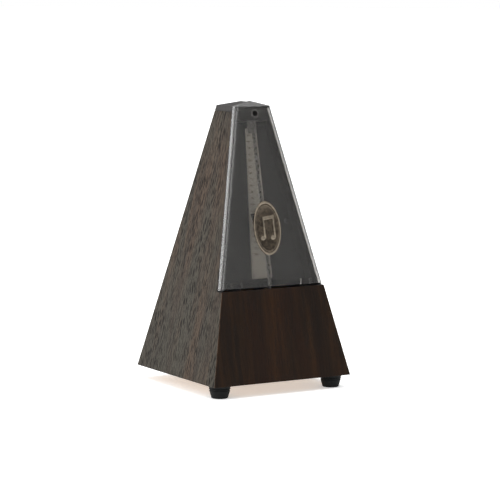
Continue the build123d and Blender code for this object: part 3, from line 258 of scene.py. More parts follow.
def veneer(name, across, seed, tones, pores, finish):
    """Veneer whose grain runs up the slope, on a panel stained black inside and in its front rebate.

    across is the axis that runs across the panel.
    """
    look = Look(name, finish)
    parts = look.add("ShaderNodeSeparateXYZ", {0: look.place}).outputs
    inputs = {"X": parts[across], "Y": parts["Z"], "Z": seed}
    flat = look.add("ShaderNodeCombineXYZ", inputs).outputs[0]
    wander = look.math("MULTIPLY", look.noise(flat, (18, 14, 1), detail=1.0), 0.006)
    waver = look.math("MULTIPLY", look.noise(flat, (260, 110, 1), detail=1.0), 0.0016)
    bent_across = look.math("ADD", parts[across], look.math("ADD", wander, waver))
    grain = look.add("ShaderNodeCombineXYZ", {"X": bent_across, "Y": parts["Z"], "Z": seed}).outputs[0]

    patches = look.span(look.noise(grain, (45, 9, 1), detail=2.0), 0.38, 0.62)
    streaks = look.noise(grain, (pores["streak_scale"], 7, 1), detail=4.0, roughness=0.6)
    streaks = look.span(streaks, 0.35, 0.68)
    threads = look.noise(grain, (1500, 45, 1), detail=2.0)
    colour = look.blend(patches, tones["cool"], tones["warm"])
    colour = look.blend(look.math("MULTIPLY", streaks, tones["streak_share"]), colour, tones["streak"])
    colour = look.blend(look.span(threads, 0.45, 0.75, 0.0, pores["thread_share"]), colour, tones["pore"])

    crowding = look.span(look.noise(grain, (110, 22, 1), detail=2.0), 0.36, 0.6, 0.45, 1.0)
    long_pores = look.span(look.cells(grain, (620, 105, 1), flat=True), 0.16, 0.42, 1.0, 0.0)
    short_pores = look.span(look.cells(grain, (900, 240, 1), flat=True), 0.12, 0.34, 1.0, 0.0)
    open_grain = look.math("MULTIPLY", long_pores, crowding)
    open_grain = look.math("MAXIMUM", open_grain, look.math("MULTIPLY", short_pores, pores["short_share"]))
    colour = look.blend(look.math("MULTIPLY", open_grain, pores["share"]), colour, tones["pore"])

    # Rubbed arrises: the distance from the panel's slanted edge, broken up by noise.
    rubbed = look.span(look.inward(parts, across), *ARRIS, 1.0, 0.0)
    rubbed = look.math("MULTIPLY", rubbed, look.span(look.noise(look.place, (160,) * 3), 0.4, 0.6, 0.2, 0.8))
    colour = look.blend(rubbed, colour, tones["rubbed"])

    # Black stain: the inner faces, and the rebate that the clear cover sits in.
    outward = "Y" if across == "X" else "X"
    stained = look.span(look.inward(parts, outward), STAIN_DEPTH, STAIN_DEPTH + STAIN_FADE)
    if across == "Y":
        rebate = look.span(look.behind_front(), REBATE_DEPTH, REBATE_DEPTH + REBATE_FADE, 1.0, 0.0)
        above = look.math("GREATER_THAN", parts["Z"], front_high.z - REBATE_FOOT)
        rebate = look.math("MULTIPLY", rebate, above)
        stained = look.math("MAXIMUM", stained, rebate)
    colour = look.blend(stained, colour, BLACK_STAIN)

    roughness = look.math("ADD", pores["roughness"], look.math("MULTIPLY", open_grain, 0.2))
    roughness = look.math("ADD", roughness, look.math("MULTIPLY", threads, 0.12))
    height = look.math("SUBTRACT", look.math("MULTIPLY", threads, 0.25), open_grain)
    return look.surface(colour, roughness, height, pores["depth"])


def plywood():
    """Pale plywood, with its face grain and the darker plies."""
    look = Look("plywood", {"Specular IOR Level": 0.35})
    grain = look.noise(look.place, (700, 26, 300), detail=4.0, roughness=0.6)
    plies = look.noise(look.place, (4, 4, 900), detail=1.0)
    colour = look.blend(look.span(grain, 0.3, 0.7), srgb(176, 142, 100), srgb(206, 176, 134))
    colour = look.blend(look.span(plies, 0.5, 0.62, 0.0, 0.35), colour, srgb(128, 94, 60))
    roughness = look.span(grain, 0.2, 0.8, 0.6, 0.8)
    return look.surface(colour, roughness, grain, 0.08 * MM)


# ---------------------------------------------------------------- plastics, rubber and enamel


def moulding(name, tone, worn, roughness, grain_size, depth, finish=None):
    """Moulded plastic or rubber: a fine grain, a faint clouding and rubbed edges."""
    look = Look(name, finish or {})
    cloud = look.noise(look.place, (35,) * 3, detail=3.0)
    scuffs = look.noise(look.place, (900, 900, 60), detail=2.0)
    grain = look.noise(look.place, (1 / grain_size,) * 3, detail=2.0)
    colour = look.blend(look.span(cloud, 0.35, 0.65), tone, lit(tone, 1.3))
    wear = look.math("MULTIPLY", look.edges(0.5 * MM), look.span(cloud, 0.4, 0.6, 0.2, 0.7))
    colour = look.blend(wear, colour, worn)
    rough = look.span(scuffs, 0.5, 0.75, roughness, roughness + 0.12)
    return look.surface(colour, rough, grain, depth)


COVER_FOOT = (front_high.z - FOOT_TOP) / math.cos(LEAN) + 0.7 * MM
# Where smoked_cover paints dark lines of painted shade and painted dark reflection: its rim, its foot and
# round its flange.
FLANGE_RIM = 5.3 * MM
RIM_FADE = 0.2 * MM
FOOT_SHADE_LINE = (0.8 * MM, 1.1 * MM)
FLANGE_WALL = (1.1 * MM, 1.4 * MM)
LINE_WIDTH = (0.25 * MM, 0.5 * MM)
PAINTED_SHADE_BLACK = (0.01, 0.01, 0.01, 1.0)
FLANGE_SHADE_LINES = ((1.75 * MM, 0.95), (3.9 * MM, 0.6))


def smoked_cover():
    """Clear smoked polystyrene with faint hairlines in its polish, and dark edge lines of painted shade and
    painted reflection.
    """
    finish = {
        "Base Color": (0.74, 0.725, 0.705, 1.0),
        "Transmission Weight": 0.965,
        "IOR": 1.49,
        "Specular IOR Level": 0.5,
    }
    look = Look("smoked_cover", finish)
    hairlines = look.noise(look.place, (2500, 2500, 30), detail=2.0)
    flow = look.noise(look.place, (40, 40, 8), detail=2.0)
    colour = look.blend(look.span(flow, 0.3, 0.7), (0.72, 0.705, 0.685, 1.0), (0.76, 0.745, 0.725, 1.0))

    # Painted shade and painted dark reflections: dark lines on the rim, the foot and round the flange's outer
    # side, not moulded lines.
    behind = look.behind_front()
    up = look.along(UP_SLOPE, FRONT_ORIGIN.dot(UP_SLOPE) + COVER_FOOT)
    rim = look.span(behind, FLANGE_RIM, FLANGE_RIM + RIM_FADE)
    dark = look.math("MAXIMUM", rim, look.span(up, *FOOT_SHADE_LINE, 1.0, 0.0))
    parts = look.add("ShaderNodeSeparateXYZ", {0: look.place}).outputs
    outside = look.span(look.inward(parts, "X"), *FLANGE_WALL, 1.0, 0.0)
    for depth, share in FLANGE_SHADE_LINES:
        off_line = look.math("ABSOLUTE", look.math("SUBTRACT", behind, depth))
        line = look.math("MULTIPLY", look.span(off_line, *LINE_WIDTH, share, 0.0), outside)
        dark = look.math("MAXIMUM", dark, line)
    colour = look.blend(dark, colour, PAINTED_SHADE_BLACK)
    roughness = look.span(hairlines, 0.4, 0.8, 0.13, 0.149)
    return look.surface(colour, roughness, flow, 0.05 * MM)


def enamel():
    """Pale satin enamel on sheet metal, slightly yellowed and clouded."""
    look = Look("scale_enamel", {"Specular IOR Level": 0.5, "Coat Weight": 0.3, "Coat Roughness": 0.3})
    cloud = look.noise(look.place, (90, 90, 30), detail=4.0, roughness=0.6)
    specks = look.cells(look.place, (420,) * 3)
    colour = look.blend(look.span(cloud, 0.3, 0.7), srgb(203, 197, 186), srgb(222, 217, 207))
    colour = look.blend(look.span(specks, 0.04, 0.10, 0.5, 0.0), colour, srgb(150, 138, 118))
    roughness = look.span(cloud, 0.3, 0.7, 0.34, 0.46)
    return look.surface(colour, roughness, look.noise(look.place, (600,) * 3), 0.01 * MM)


def ink():
    """Dark printing ink, slightly uneven."""
    look = Look("scale_ink", {"Specular IOR Level": 0.4})
    patchy = look.noise(look.place, (900,) * 3, detail=3.0)
    colour = look.blend(look.span(patchy, 0.3, 0.7), srgb(66, 62, 58), srgb(92, 88, 83))
    return look.surface(colour, look.span(patchy, 0.3, 0.7, 0.5, 0.65))


# ---------------------------------------------------------------- metals


def metal(name, tone, tarnish, roughness, brush, depth, wear_edges=True):
    """Worked metal: brush gives the tool marks' scale along each axis, and tarnish gathers in clouds."""
    look = Look(name, {"Metallic": 1.0})
    marks = look.noise(look.place, brush, detail=3.0, roughness=0.6)
    cloud = look.noise(look.place, (120,) * 3, detail=4.0, roughness=0.6)
    fine = look.noise(look.place, (500,) * 3, detail=2.0)
    colour = look.blend(look.span(cloud, 0.42, 0.72, 0.0, 0.75), tone, tarnish)
    colour = look.blend(look.span(marks, 0.5, 0.8, 0.0, 0.25), colour, tarnish)
    if wear_edges:
        colour = look.blend(look.math("MULTIPLY", look.edges(0.25 * MM), 0.7), colour, lit(tone, 1.25))
    rough = look.span(marks, 0.3, 0.7, roughness, roughness + 0.12)
    rough = look.math("ADD", rough, look.span(fine, 0.5, 0.8, 0.0, 0.1))
    return look.surface(colour, rough, marks, depth)


def cast_iron():
    """Grey cast metal with a sandy skin."""
    look = Look("bob_iron", {"Metallic": 0.85})
    sand = look.noise(look.place, (1300,) * 3, detail=4.0, roughness=0.7)
    cloud = look.noise(look.place, (150,) * 3, detail=3.0)
    colour = look.blend(look.span(cloud, 0.35, 0.65), srgb(104, 103, 104), srgb(128, 125, 121))
    colour = look.blend(look.span(sand, 0.55, 0.75, 0.0, 0.6), colour, srgb(64, 60, 56))
    return look.surface(colour, look.span(sand, 0.3, 0.7, 0.45, 0.7), sand, 0.12 * MM)


BADGE_RUBBED = (0.42 * MM, 0.95 * MM)


def aged_bronze():
    """Bronze relief, dark in its hollows and rubbed bright on its high parts."""
    look = Look("badge_bronze", {"Metallic": 0.8})
    height = look.along(OUT_OF_FRONT, FRONT_ORIGIN.dot(OUT_OF_FRONT))
    raised = look.span(height, *BADGE_RUBBED)
    cloud = look.noise(look.place, (420,) * 3, detail=4.0, roughness=0.65)
    hammered = look.cells(look.place, (900,) * 3)
    patina = look.blend(look.span(cloud, 0.35, 0.65), srgb(70, 62, 54), srgb(98, 88, 76))
    rubbed = look.blend(look.span(cloud, 0.35, 0.65), srgb(140, 130, 116), srgb(160, 148, 130))
    share = look.math("MULTIPLY", raised, look.span(cloud, 0.25, 0.5, 0.65, 1.0))
    colour = look.blend(share, patina, rubbed)
    return look.surface(colour, look.span(cloud, 0.3, 0.7, 0.34, 0.52), hammered, 0.05 * MM)


looks = {
    "veneer_left": veneer("veneer_left", "Y", 1.7, SHEENED_SIDE_TONES, SIDE_PORES, OILED),
    "veneer_right": veneer("veneer_right", "Y", 5.3, SHEENED_SIDE_TONES, SIDE_PORES, OILED),
    "veneer_rear": veneer("veneer_rear", "X", 9.1, SHEENED_SIDE_TONES, SIDE_PORES, OILED),
    "veneer_front": veneer("veneer_front", "X", 13.9, SHADED_FRONT_TONES, FRONT_PORES, LACQUER),
    "plywood": plywood(),
    "cap": moulding("cap_plastic", srgb(42, 40, 39), srgb(62, 60, 57), 0.5, 0.5 * MM, 0.02 * MM, OILED),
    "black": moulding("black_plastic", srgb(26, 26, 26), srgb(58, 57, 55), 0.38, 0.4 * MM, 0.02 * MM),
    # Painted shade: the stud is near black so that it reads as the shaded snap hole it sits in.
    "stud": moulding("stud_painted_shade", srgb(7, 7, 7), srgb(16, 16, 16), 0.5, 0.4 * MM, 0.02 * MM, MATT),
    "rubber": moulding("foot_rubber", srgb(16, 17, 17), srgb(38, 40, 40), 0.6, 0.35 * MM, 0.04 * MM, OILED),
    "cover": smoked_cover(),
    "enamel": enamel(),
    "ink": ink(),
    "steel": metal("turned_steel", srgb(196, 196, 194), srgb(146, 142, 136), 0.24, (900, 900, 90), 0.01 * MM),
    "rod_steel": metal(
        "rod_steel", srgb(200, 199, 196), srgb(158, 154, 148), 0.22, (2400, 2400, 40), 0.01 * MM
    ),
    "blued": metal("blued_steel", srgb(74, 82, 108), srgb(92, 84, 78), 0.28, (400, 2000, 400), 0.01 * MM),
    "blackened": metal("blackened_steel", srgb(60, 60, 62), srgb(44, 42, 40), 0.4, (900,) * 3, 0.01 * MM),
    "zinc": metal("zinc_screws", srgb(186, 186, 182), srgb(138, 134, 124), 0.34, (1500,) * 3, 0.01 * MM),
    "brass": metal("clock_brass", srgb(206, 172, 104), srgb(150, 116, 66), 0.26, (60, 1600, 160), 0.01 * MM),
    "iron": cast_iron(),
    "plated": metal(
        "weight_plating", srgb(212, 211, 208), srgb(170, 165, 158), 0.14, (1800, 1800, 60), 0.006 * MM
    ),
    "nickel": metal("key_plating", srgb(216, 212, 204), srgb(176, 166, 150), 0.16, (900,) * 3, 0.006 * MM),
    "bronze": aged_bronze(),
}

# ---------------------------------------------------------------- mesh helpers


def link(name, mesh, look, body, stands_for=()):
    """Puts a finished mesh in the scene as a piece."""
    piece = bpy.data.objects.new(name, mesh)
    bpy.context.scene.collection.objects.link(piece)
    mesh.materials.clear()
    mesh.materials.append(looks[look])
    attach(piece, body)
    if stands_for:
        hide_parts(*stands_for)
    return piece


def settle(shape, name, sharp_angle=35.0):
    """Turns a bmesh into a mesh that shades smoothly up to an angle."""
    bmesh.ops.recalc_face_normals(shape, faces=shape.faces)
    mesh = bpy.data.meshes.new(name)
    shape.to_mesh(mesh)
    shape.free()
    for attribute in ("custom_normal", "sharp_face"):
        if attribute in mesh.attributes:
            mesh.attributes.remove(mesh.attributes[attribute])
    for polygon in mesh.polygons:
        polygon.use_smooth = True
    mesh.set_sharp_from_angle(angle=math.radians(sharp_angle))
    return mesh


def clean_copy(node):
    """A CAD node's mesh with its seams welded and its flat faces whole."""
    shape = bmesh.new()
    shape.from_mesh(frame["nodes"][node].data)
    bmesh.ops.remove_doubles(shape, verts=shape.verts, dist=0.001 * MM)
    flat = math.radians(0.5)
    bmesh.ops.dissolve_limit(shape, angle_limit=flat, verts=shape.verts, edges=shape.edges)
    return shape


def soften(node, look, width, segments=2):
    """A copy of a CAD node with its sharp edges rounded over.  It stands for the node."""
    shape = clean_copy(node)
    sharp = [e for e in shape.edges if e.is_manifold and e.calc_face_angle() > math.radians(35)]
    bmesh.ops.bevel(
        shape,
        geom=sharp,
        offset=width,
        offset_type="OFFSET",
        segments=segments,
        profile=0.5,
        affect="EDGES",
        clamp_overlap=True,
    )
    mesh = settle(shape, node)
    body = frame["nodes"][node]["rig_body"]
    piece = link("soft_" + node, mesh, look, body, (node,))
    normals = piece.modifiers.new("even_normals", "WEIGHTED_NORMAL")
    normals.keep_sharp = True
    return piece


def loft(shape, rings, closed=False):
    """Joins rings of vertices with faces, and caps both ends unless the rings close on themselves."""
    count = len(rings[0])
    pairs = list(zip(rings, rings[1:]))
    if closed:
        pairs.append((rings[-1], rings[0]))
    for first, second in pairs:
        for step in range(count):
            after = (step + 1) % count
            shape.faces.new((first[step], first[after], second[after], second[step]))
    if not closed:
        shape.faces.new(list(reversed(rings[0])))
        shape.faces.new(rings[-1])


def turned(shape, profile, matrix, steps=48, closed=False):
    """Adds a turned form: profile is (radius, height) along the matrix's Z axis."""
    rings = []
    for radius, height in profile:
        ring = []
        for step in range(steps):
            turn = 2 * math.pi * step / steps
            local = Vector((radius * math.cos(turn), radius * math.sin(turn), height))
            ring.append(shape.verts.new(matrix @ local))
        rings.append(ring)
    loft(shape, rings, closed)


def slab(shape, outline, low, high, edge, place):
    """Adds a flat slab with a rounded upper edge: place turns (x, v, n) into a point."""
    rings = [[shape.verts.new(place(x, v, n)) for x, v in outline] for n in (low, high)]
    count = len(outline)
    bottom = shape.faces.new(list(reversed(rings[0])))
    top = shape.faces.new(rings[1])
    for step in range(count):
        after = (step + 1) % count
        shape.faces.new((rings[0][step], rings[0][after], rings[1][after], rings[1][step]))
    bottom.normal_update()
    top.normal_update()
    if edge:
        bmesh.ops.bevel(
            shape,
            geom=list(top.edges),
            offset=edge,
            offset_type="OFFSET",
            segments=3,
            profile=0.5,
            affect="EDGES",
            clamp_overlap=True,
        )


def facing(origin, outward):
    """A matrix at a point whose Z axis looks outward."""
    return Matrix.Translation(origin) @ outward.to_track_quat("Z", "Y").to_matrix().to_4x4()


def solids(node):
    """The vertices of each separate solid in a CAD node."""
    shape = clean_copy(node)
    groups = []
    waiting = set(shape.verts)
    while waiting:
        stack = [waiting.pop()]
        group = []
        while stack:
            vertex = stack.pop()
            group.append(vertex.co.copy())
            for edge in vertex.link_edges:
                other = edge.other_vert(vertex)
                if other in waiting:
                    waiting.discard(other)
                    stack.append(other)
        groups.append(group)
    shape.free()
    return sorted(groups, key=lambda g: tuple(round(c, 5) for c in sum(g, Vector()) / len(g)))


# ---------------------------------------------------------------- case, cap, cover and board

soften("left_panel", "veneer_left", 0.35 * MM)
soften("right_panel", "veneer_right", 0.35 * MM)
soften("rear_panel", "veneer_rear", 0.35 * MM)
soften("front_plate", "veneer_front", 0.35 * MM)
soften("top_cap", "cap", 0.3 * MM, 3)
soften("front_cover", "cover", 0.25 * MM, 3)
soften("dial_board", "black", 0.3 * MM)
soften("head_block", "black", 0.4 * MM, 3)
soften("tempo_scale", "enamel", 0.12 * MM)
soften("tempo_weight", "plated", 0.25 * MM, 3)
soften("pendulum_rod", "rod_steel", 0.06 * MM, 1)
soften("pendulum_hub", "brass", 0.3 * MM, 3)
soften("rod_catch", "rod_steel", 0.25 * MM, 3)
soften("key_escutcheon", "nickel", 0.2 * MM, 3)

# ---------------------------------------------------------------- printed tempo scale

TEMPI = (
    [40, 42, 44, 46, 48, 50, 52, 54, 56, 58, 60]
    + [63, 66, 69, 72, 76, 80, 84, 88, 92, 96, 100, 104, 108, 112, 116, 120]
    + [126, 132, 138, 144, 152, 160, 168, 176, 184, 192, 200, 208]
)
PRINT_HEIGHT = 0.03 * MM
NUMBER_SIZE = 2.3 * MM
TICK_THICKNESS = 0.16 * MM
TICK_START = 0.5 * MM
TICK_END = 1.7 * MM
NUMBER_START = 2.0 * MM
BORDER_INSET = 0.7 * MM


def front_of(node):
    """A CAD node's forward face: its normal, and the middle of its lowest and highest edges."""
    mesh = frame["nodes"][node].data
    facing_front = [p for p in mesh.polygons if p.normal.y < -0.9]
    normal = sum((p.normal * p.area for p in facing_front), Vector()).normalized()
    corners = [mesh.vertices[i].co for p in facing_front for i in p.vertices]
    low = min(corners, key=lambda c: c.z)
    high = max(corners, key=lambda c: c.z)
    return normal, low, high


scale_out, scale_low, scale_high = front_of("tempo_scale")
scale_foot = Vector((0, scale_low.y, scale_low.z))
scale_head = Vector((0, scale_high.y, scale_high.z))
SCALE_LENGTH = (scale_head - scale_foot).length
SCALE_UP = (scale_head - scale_foot).normalized()
SCALE_HALF_LOW = abs(scale_low.x)
SCALE_HALF_HIGH = abs(scale_high.x)


def scale_point(x, up, n):
    """A point on the tempo scale: x across, up along it, n outward."""
    return scale_foot + Vector((x, 0, 0)) + SCALE_UP * up + scale_out * n


def scale_half(up):
    """Half the scale's width, this far up it."""
    return SCALE_HALF_LOW + (SCALE_HALF_HIGH - SCALE_HALF_LOW) * up / SCALE_LENGTH


def number_mesh(number):
    """A printed number as a thin mesh, its corner at the origin."""
    curve = bpy.data.curves.new("number", "FONT")
    curve.body = str(number)
    curve.size = NUMBER_SIZE
    curve.extrude = PRINT_HEIGHT / 2
    curve.resolution_u = 3
    text = bpy.data.objects.new("number", curve)
    bpy.context.scene.collection.objects.link(text)
    bpy.context.view_layer.update()
    mesh = bpy.data.meshes.new_from_object(text.evaluated_get(bpy.context.evaluated_depsgraph_get()))
    bpy.data.objects.remove(text)
    bpy.data.curves.remove(curve)
    return mesh


def tick(shape, x0, x1, up, thickness):
    """A printed bar across the scale."""
    low, high = up - thickness / 2, up + thickness / 2
    slab(shape, [(x0, low), (x1, low), (x1, high), (x0, high)], 0, PRINT_HEIGHT, 0, scale_point)


def scale_print():
    """Numbers on alternate sides, each with its tick, inside a fine border."""
    shape = bmesh.new()
    weight_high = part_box("tempo_weight")[1]
    slide = next(j for j in frame["joints"] if j["name"] == "weight_slide")
    weight_top = front_height(Vector((0, weight_high.y, weight_high.z)))
    first_up = weight_top + slide["range_m"][1] - front_height(scale_foot)
    last_up = weight_top + slide["range_m"][0] - front_height(scale_foot)
    turn = Matrix((Vector((1, 0, 0)), SCALE_UP, scale_out)).transposed().to_4x4()
    for index, number in enumerate(TEMPI):
        up = first_up + (last_up - first_up) * index / (len(TEMPI) - 1)
        side = -1 if index % 2 == 0 else 1
        tick(shape, *sorted((side * TICK_START, side * TICK_END)), up, TICK_THICKNESS)
        mesh = number_mesh(number)
        width = max(v.co.x for v in mesh.vertices)
        tall = max(v.co.y for v in mesh.vertices)
        x = NUMBER_START if side > 0 else -NUMBER_START - width
        corner = scale_point(x, up - tall / 2, PRINT_HEIGHT / 2)
        mesh.transform(Matrix.Translation(corner) @ turn)
        shape.from_mesh(mesh)
        bpy.data.meshes.remove(mesh)
    for side in (-1, 1):
        line = []
        for up in (BORDER_INSET, SCALE_LENGTH - BORDER_INSET):
            line.append((side * (scale_half(up) - BORDER_INSET), up))
        (x0, up0), (x1, up1) = line
        breadth = side * TICK_THICKNESS
        outline = [(x0 - breadth, up0), (x0, up0), (x1, up1), (x1 - breadth, up1)]
        slab(shape, outline if side > 0 else outline[::-1], 0, PRINT_HEIGHT, 0, scale_point)
    for up in (BORDER_INSET, SCALE_LENGTH - BORDER_INSET):
        reach = scale_half(up) - BORDER_INSET
        tick(shape, -reach, reach, up, TICK_THICKNESS)
    link("scale_print", settle(shape, "scale_print"), "ink", "root")


scale_print()

# ---------------------------------------------------------------- badge

badge_low, badge_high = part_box("cover_badge")
BADGE_MIDDLE = front_height(centre("cover_badge"))
BADGE_HALF_WIDTH = badge_high.x
BADGE_HALF_HEIGHT = (badge_high.z - badge_low.z) / (2 * math.cos(LEAN))
BADGE_RISE = max(
    (v.co - FRONT_ORIGIN).dot(OUT_OF_FRONT) for v in frame["nodes"]["cover_badge"].data.vertices
)
BADGE_STEPS = 144
# The oval's section, as shares of its radius and of its rise.
BADGE_SECTION = [
    (1.0, 0.0),
    (1.0, 0.55),
    (0.985, 0.78),
    (0.955, 0.9),
    (0.925, 0.78),
    (0.91, 0.5),
    (0.885, 0.42),
    (0.86, 0.62),
    (0.835, 0.62),
    (0.815, 0.42),
    (0.6, 0.44),
    (0.3, 0.48),
    (0.08, 0.5),
]
ROPE_TURNS = 48
ROPE_RING = 3
ROPE_SWELL = 0.1
# The notes' foot and tops, as shares of the badge's rise.
NOTE_FOOT = 0.4
STEM_RISE = 0.94
HEAD_RISE = 0.98
NOTE_EDGE = 0.25 * MM
NOTE_X = 4.3 * MM
NOTE_STEM = 1.5 * MM
NOTE_DROP = 7.2 * MM
NOTE_TOP = 9.0 * MM
NOTE_HALF = 0.65 * MM
BEAM_HEIGHT = 2.6 * MM
BEAM_RISE = 1.3 * MM
HEAD_LONG = 2.5 * MM
HEAD_SHORT = 1.8 * MM
HEAD_TILT = math.radians(22)
HEAD_STEPS = 32
HEAD_LEVELS = 6


def badge_point(x, v, n):
    """A point on the badge, from its middle."""
    return front_point(x, BADGE_MIDDLE + v, n)


def badge_oval(shape):
    """The oval field with a roped rim and a raised inner line."""
    rings = []
    for index, (share, rise) in enumerate(BADGE_SECTION):
        ring = []
        for step in range(BADGE_STEPS):
            turn = 2 * math.pi * step / BADGE_STEPS
            x = share * BADGE_HALF_WIDTH * math.cos(turn)
            v = share * BADGE_HALF_HEIGHT * math.sin(turn)
            rope = ROPE_SWELL * math.cos(ROPE_TURNS * turn) if index == ROPE_RING else 0.0
            ring.append(shape.verts.new(badge_point(x, v, (rise + rope) * BADGE_RISE)))
        rings.append(ring)
    loft(shape, rings)


def note_head(shape, x, v):
    """A tilted oval dome."""
    base, peak = NOTE_FOOT * BADGE_RISE, HEAD_RISE * BADGE_RISE
    rings = []
    for level in range(HEAD_LEVELS):
        lift = math.radians(90 * level / HEAD_LEVELS)
        ring = []
        for step in range(HEAD_STEPS):
            turn = 2 * math.pi * step / HEAD_STEPS
            along = HEAD_LONG * math.cos(lift) * math.cos(turn)
            aside = HEAD_SHORT * math.cos(lift) * math.sin(turn)
            px = x + along * math.cos(HEAD_TILT) - aside * math.sin(HEAD_TILT)
            pv = v + along * math.sin(HEAD_TILT) + aside * math.cos(HEAD_TILT)
            ring.append(shape.verts.new(badge_point(px, pv, base + (peak - base) * math.sin(lift))))
        rings.append(ring)
    loft(shape, rings)


def badge():
    """A plain oval plaque with a beamed pair of notes."""
    shape = bmesh.new()
    badge_oval(shape)
    base, top = NOTE_FOOT * BADGE_RISE, STEM_RISE * BADGE_RISE
    for side in (-1, 1):
        note_head(shape, side * NOTE_X, -NOTE_DROP)
        stem_x = side * NOTE_X + NOTE_STEM
        stem_top = NOTE_TOP + side * BEAM_RISE / 2
        outline = [
            (stem_x - NOTE_HALF, -NOTE_DROP),
            (stem_x + NOTE_HALF, -NOTE_DROP),
            (stem_x + NOTE_HALF, stem_top),
            (stem_x - NOTE_HALF, stem_top),
        ]
        slab(shape, outline, base, top, NOTE_EDGE, badge_point)
    left, right = NOTE_STEM - NOTE_X - NOTE_HALF, NOTE_STEM + NOTE_X + NOTE_HALF
    low, high = NOTE_TOP - BEAM_RISE / 2, NOTE_TOP + BEAM_RISE / 2
    beam = [(left, low - BEAM_HEIGHT), (right, high - BEAM_HEIGHT), (right, high), (left, low)]
    slab(shape, beam, base, HEAD_RISE * BADGE_RISE, NOTE_EDGE, badge_point)
    mesh = settle(shape, "oval_badge", 50.0)
    link("oval_badge", mesh, "bronze", "front_cover_body", ("cover_badge",))


badge()

# ---------------------------------------------------------------- eyelet round the snap hole

EYELET_RADIUS = 2.75 * MM
EYELET_WIRE = 0.18 * MM
EYELET_STEPS = 12


def snap_eyelet():
    """A thin metal ring in front of the cover's snap hole, as far out as the stud's tip."""
    stud = frame["nodes"]["cover_stud"].data.vertices
    stud_tip = max((v.co - FRONT_ORIGIN).dot(OUT_OF_FRONT) for v in stud)
    hole_height = front_height(centre("cover_stud"))
    lift = stud_tip + EYELET_WIRE
    profile = []
    for step in range(EYELET_STEPS):
        turn = 2 * math.pi * step / EYELET_STEPS
        profile.append((EYELET_RADIUS + EYELET_WIRE * math.cos(turn), EYELET_WIRE * math.sin(turn)))
    shape = bmesh.new()
    turned(shape, profile, facing(front_point(0, hole_height, lift), OUT_OF_FRONT), steps=48, closed=True)
    link("snap_eyelet", settle(shape, "snap_eyelet"), "iron", "front_cover_body")


snap_eyelet()

# ---------------------------------------------------------------- screws

# Shares of a screw head's radius, or of its height for depths and the crown.
SLOT_WIDTH = 0.22
SLOT_DEPTH = 0.5
SLOT_LENGTH = 2.4
CROSS_REACH = 0.62
CROWN_SHARE = 0.35
CROWN_FULLNESS = 0.6
CROWN_STEPS = 6
TIP_TAPER = 0.5
HEAD_REACH = 0.95
FIRST_TURN = 25
TURN_EACH = 67
SCREW_KINDS = {
    "base_screws": ("cross", Vector((0, 0, -1))),
    "foot_screws": ("cross", Vector((0, 0, -1))),
    "bracket_screws": ("cross", Vector((0, 0, 1))),
    "pillar_screws": ("slot", None),
    "bridge_screws": ("slot", None),
}


def screw_sizes(points, outward):
    """Where a screw's head sits and how large it is, from its CAD solid's points."""
    low = min(p.dot(outward) for p in points)
    high = max(p.dot(outward) for p in points)
    middle = sum(points, Vector()) / len(points)
    axis_point = middle - outward * middle.dot(outward)
    reach = [((p - outward * p.dot(outward)) - axis_point).length for p in points]
    head_radius = max(reach)
    head_points = [p.dot(outward) for p, r in zip(points, reach) if r > HEAD_REACH * head_radius]
    shank_radius = min(reach)
    return {
        "seat": axis_point + outward * min(head_points),
        "head": (head_radius, high - min(head_points)),
        "shank": (shank_radius, min(head_points) - low),
    }


def screw_mesh(sizes, kind):
    """One screw, its head's seat at the origin and looking along +Z."""
    radius, height = sizes["head"]
    shank, length = sizes["shank"]
    crown = CROWN_SHARE * height
    taper = TIP_TAPER * shank
    profile = [(taper, -length), (shank, -length + taper), (shank, 0), (radius, 0)]
    profile.append((radius, height - crown))
    for step in range(1, CROWN_STEPS):
        lift = math.radians(90 * step / CROWN_STEPS)
        rounding = math.cos(lift) ** CROWN_FULLNESS
        profile.append((radius * rounding, height - crown + crown * math.sin(lift)))
    shape = bmesh.new()
    turned(shape, profile, Matrix.Identity(4), steps=40)
    body = bpy.data.objects.new("screw_body", settle(shape, "screw_body"))
    shape = bmesh.new()
    bars = [(SLOT_LENGTH * radius, SLOT_WIDTH * radius)]
    if kind == "cross":
        bars = [(2 * CROSS_REACH * radius, SLOT_WIDTH * radius)] * 2
    for index, (long, wide) in enumerate(bars):
        scale = Matrix.Diagonal((long, wide, 2 * SLOT_DEPTH * height, 1))
        matrix = Matrix.Translation((0, 0, height)) @ Matrix.Rotation(index * math.pi / 2, 4, "Z") @ scale
        bmesh.ops.create_cube(shape, size=1.0, matrix=matrix)
    cutter = bpy.data.objects.new("screw_cutter", settle(shape, "screw_cutter"))
    for helper in (body, cutter):
        bpy.context.scene.collection.objects.link(helper)
    cut = body.modifiers.new("slot", "BOOLEAN")
    cut.operation = "DIFFERENCE"
    cut.solver = "EXACT"
    cut.use_self = True
    cut.object = cutter
    bpy.context.view_layer.update()
    mesh = bpy.data.meshes.new_from_object(body.evaluated_get(bpy.context.evaluated_depsgraph_get()))
    bpy.data.objects.remove(body)
    bpy.data.objects.remove(cutter)
    return mesh


def screws(node, kind, outward, look):
    """All the screws of one CAD node, each turned by its own angle."""
    shape = bmesh.new()
    for index, points in enumerate(solids(node)):
        middle = sum(points, Vector()) / len(points)
        look_out = outward or Vector((math.copysign(1, middle.x), 0, 0))
        sizes = screw_sizes(points, look_out)
        mesh = screw_mesh(sizes, kind)
        turn = Matrix.Rotation(math.radians(FIRST_TURN + TURN_EACH * index), 4, "Z")
        mesh.transform(facing(sizes["seat"], look_out) @ turn)
        shape.from_mesh(mesh)
        bpy.data.meshes.remove(mesh)
    link("cut_" + node, settle(shape, node), look, "root", (node,))


for screw_node, (screw_kind, screw_out) in SCREW_KINDS.items():
    screws(screw_node, screw_kind, screw_out, "zinc")
screws("board_screws", "slot", scale_out, "blackened")

# ---------------------------------------------------------------- feet

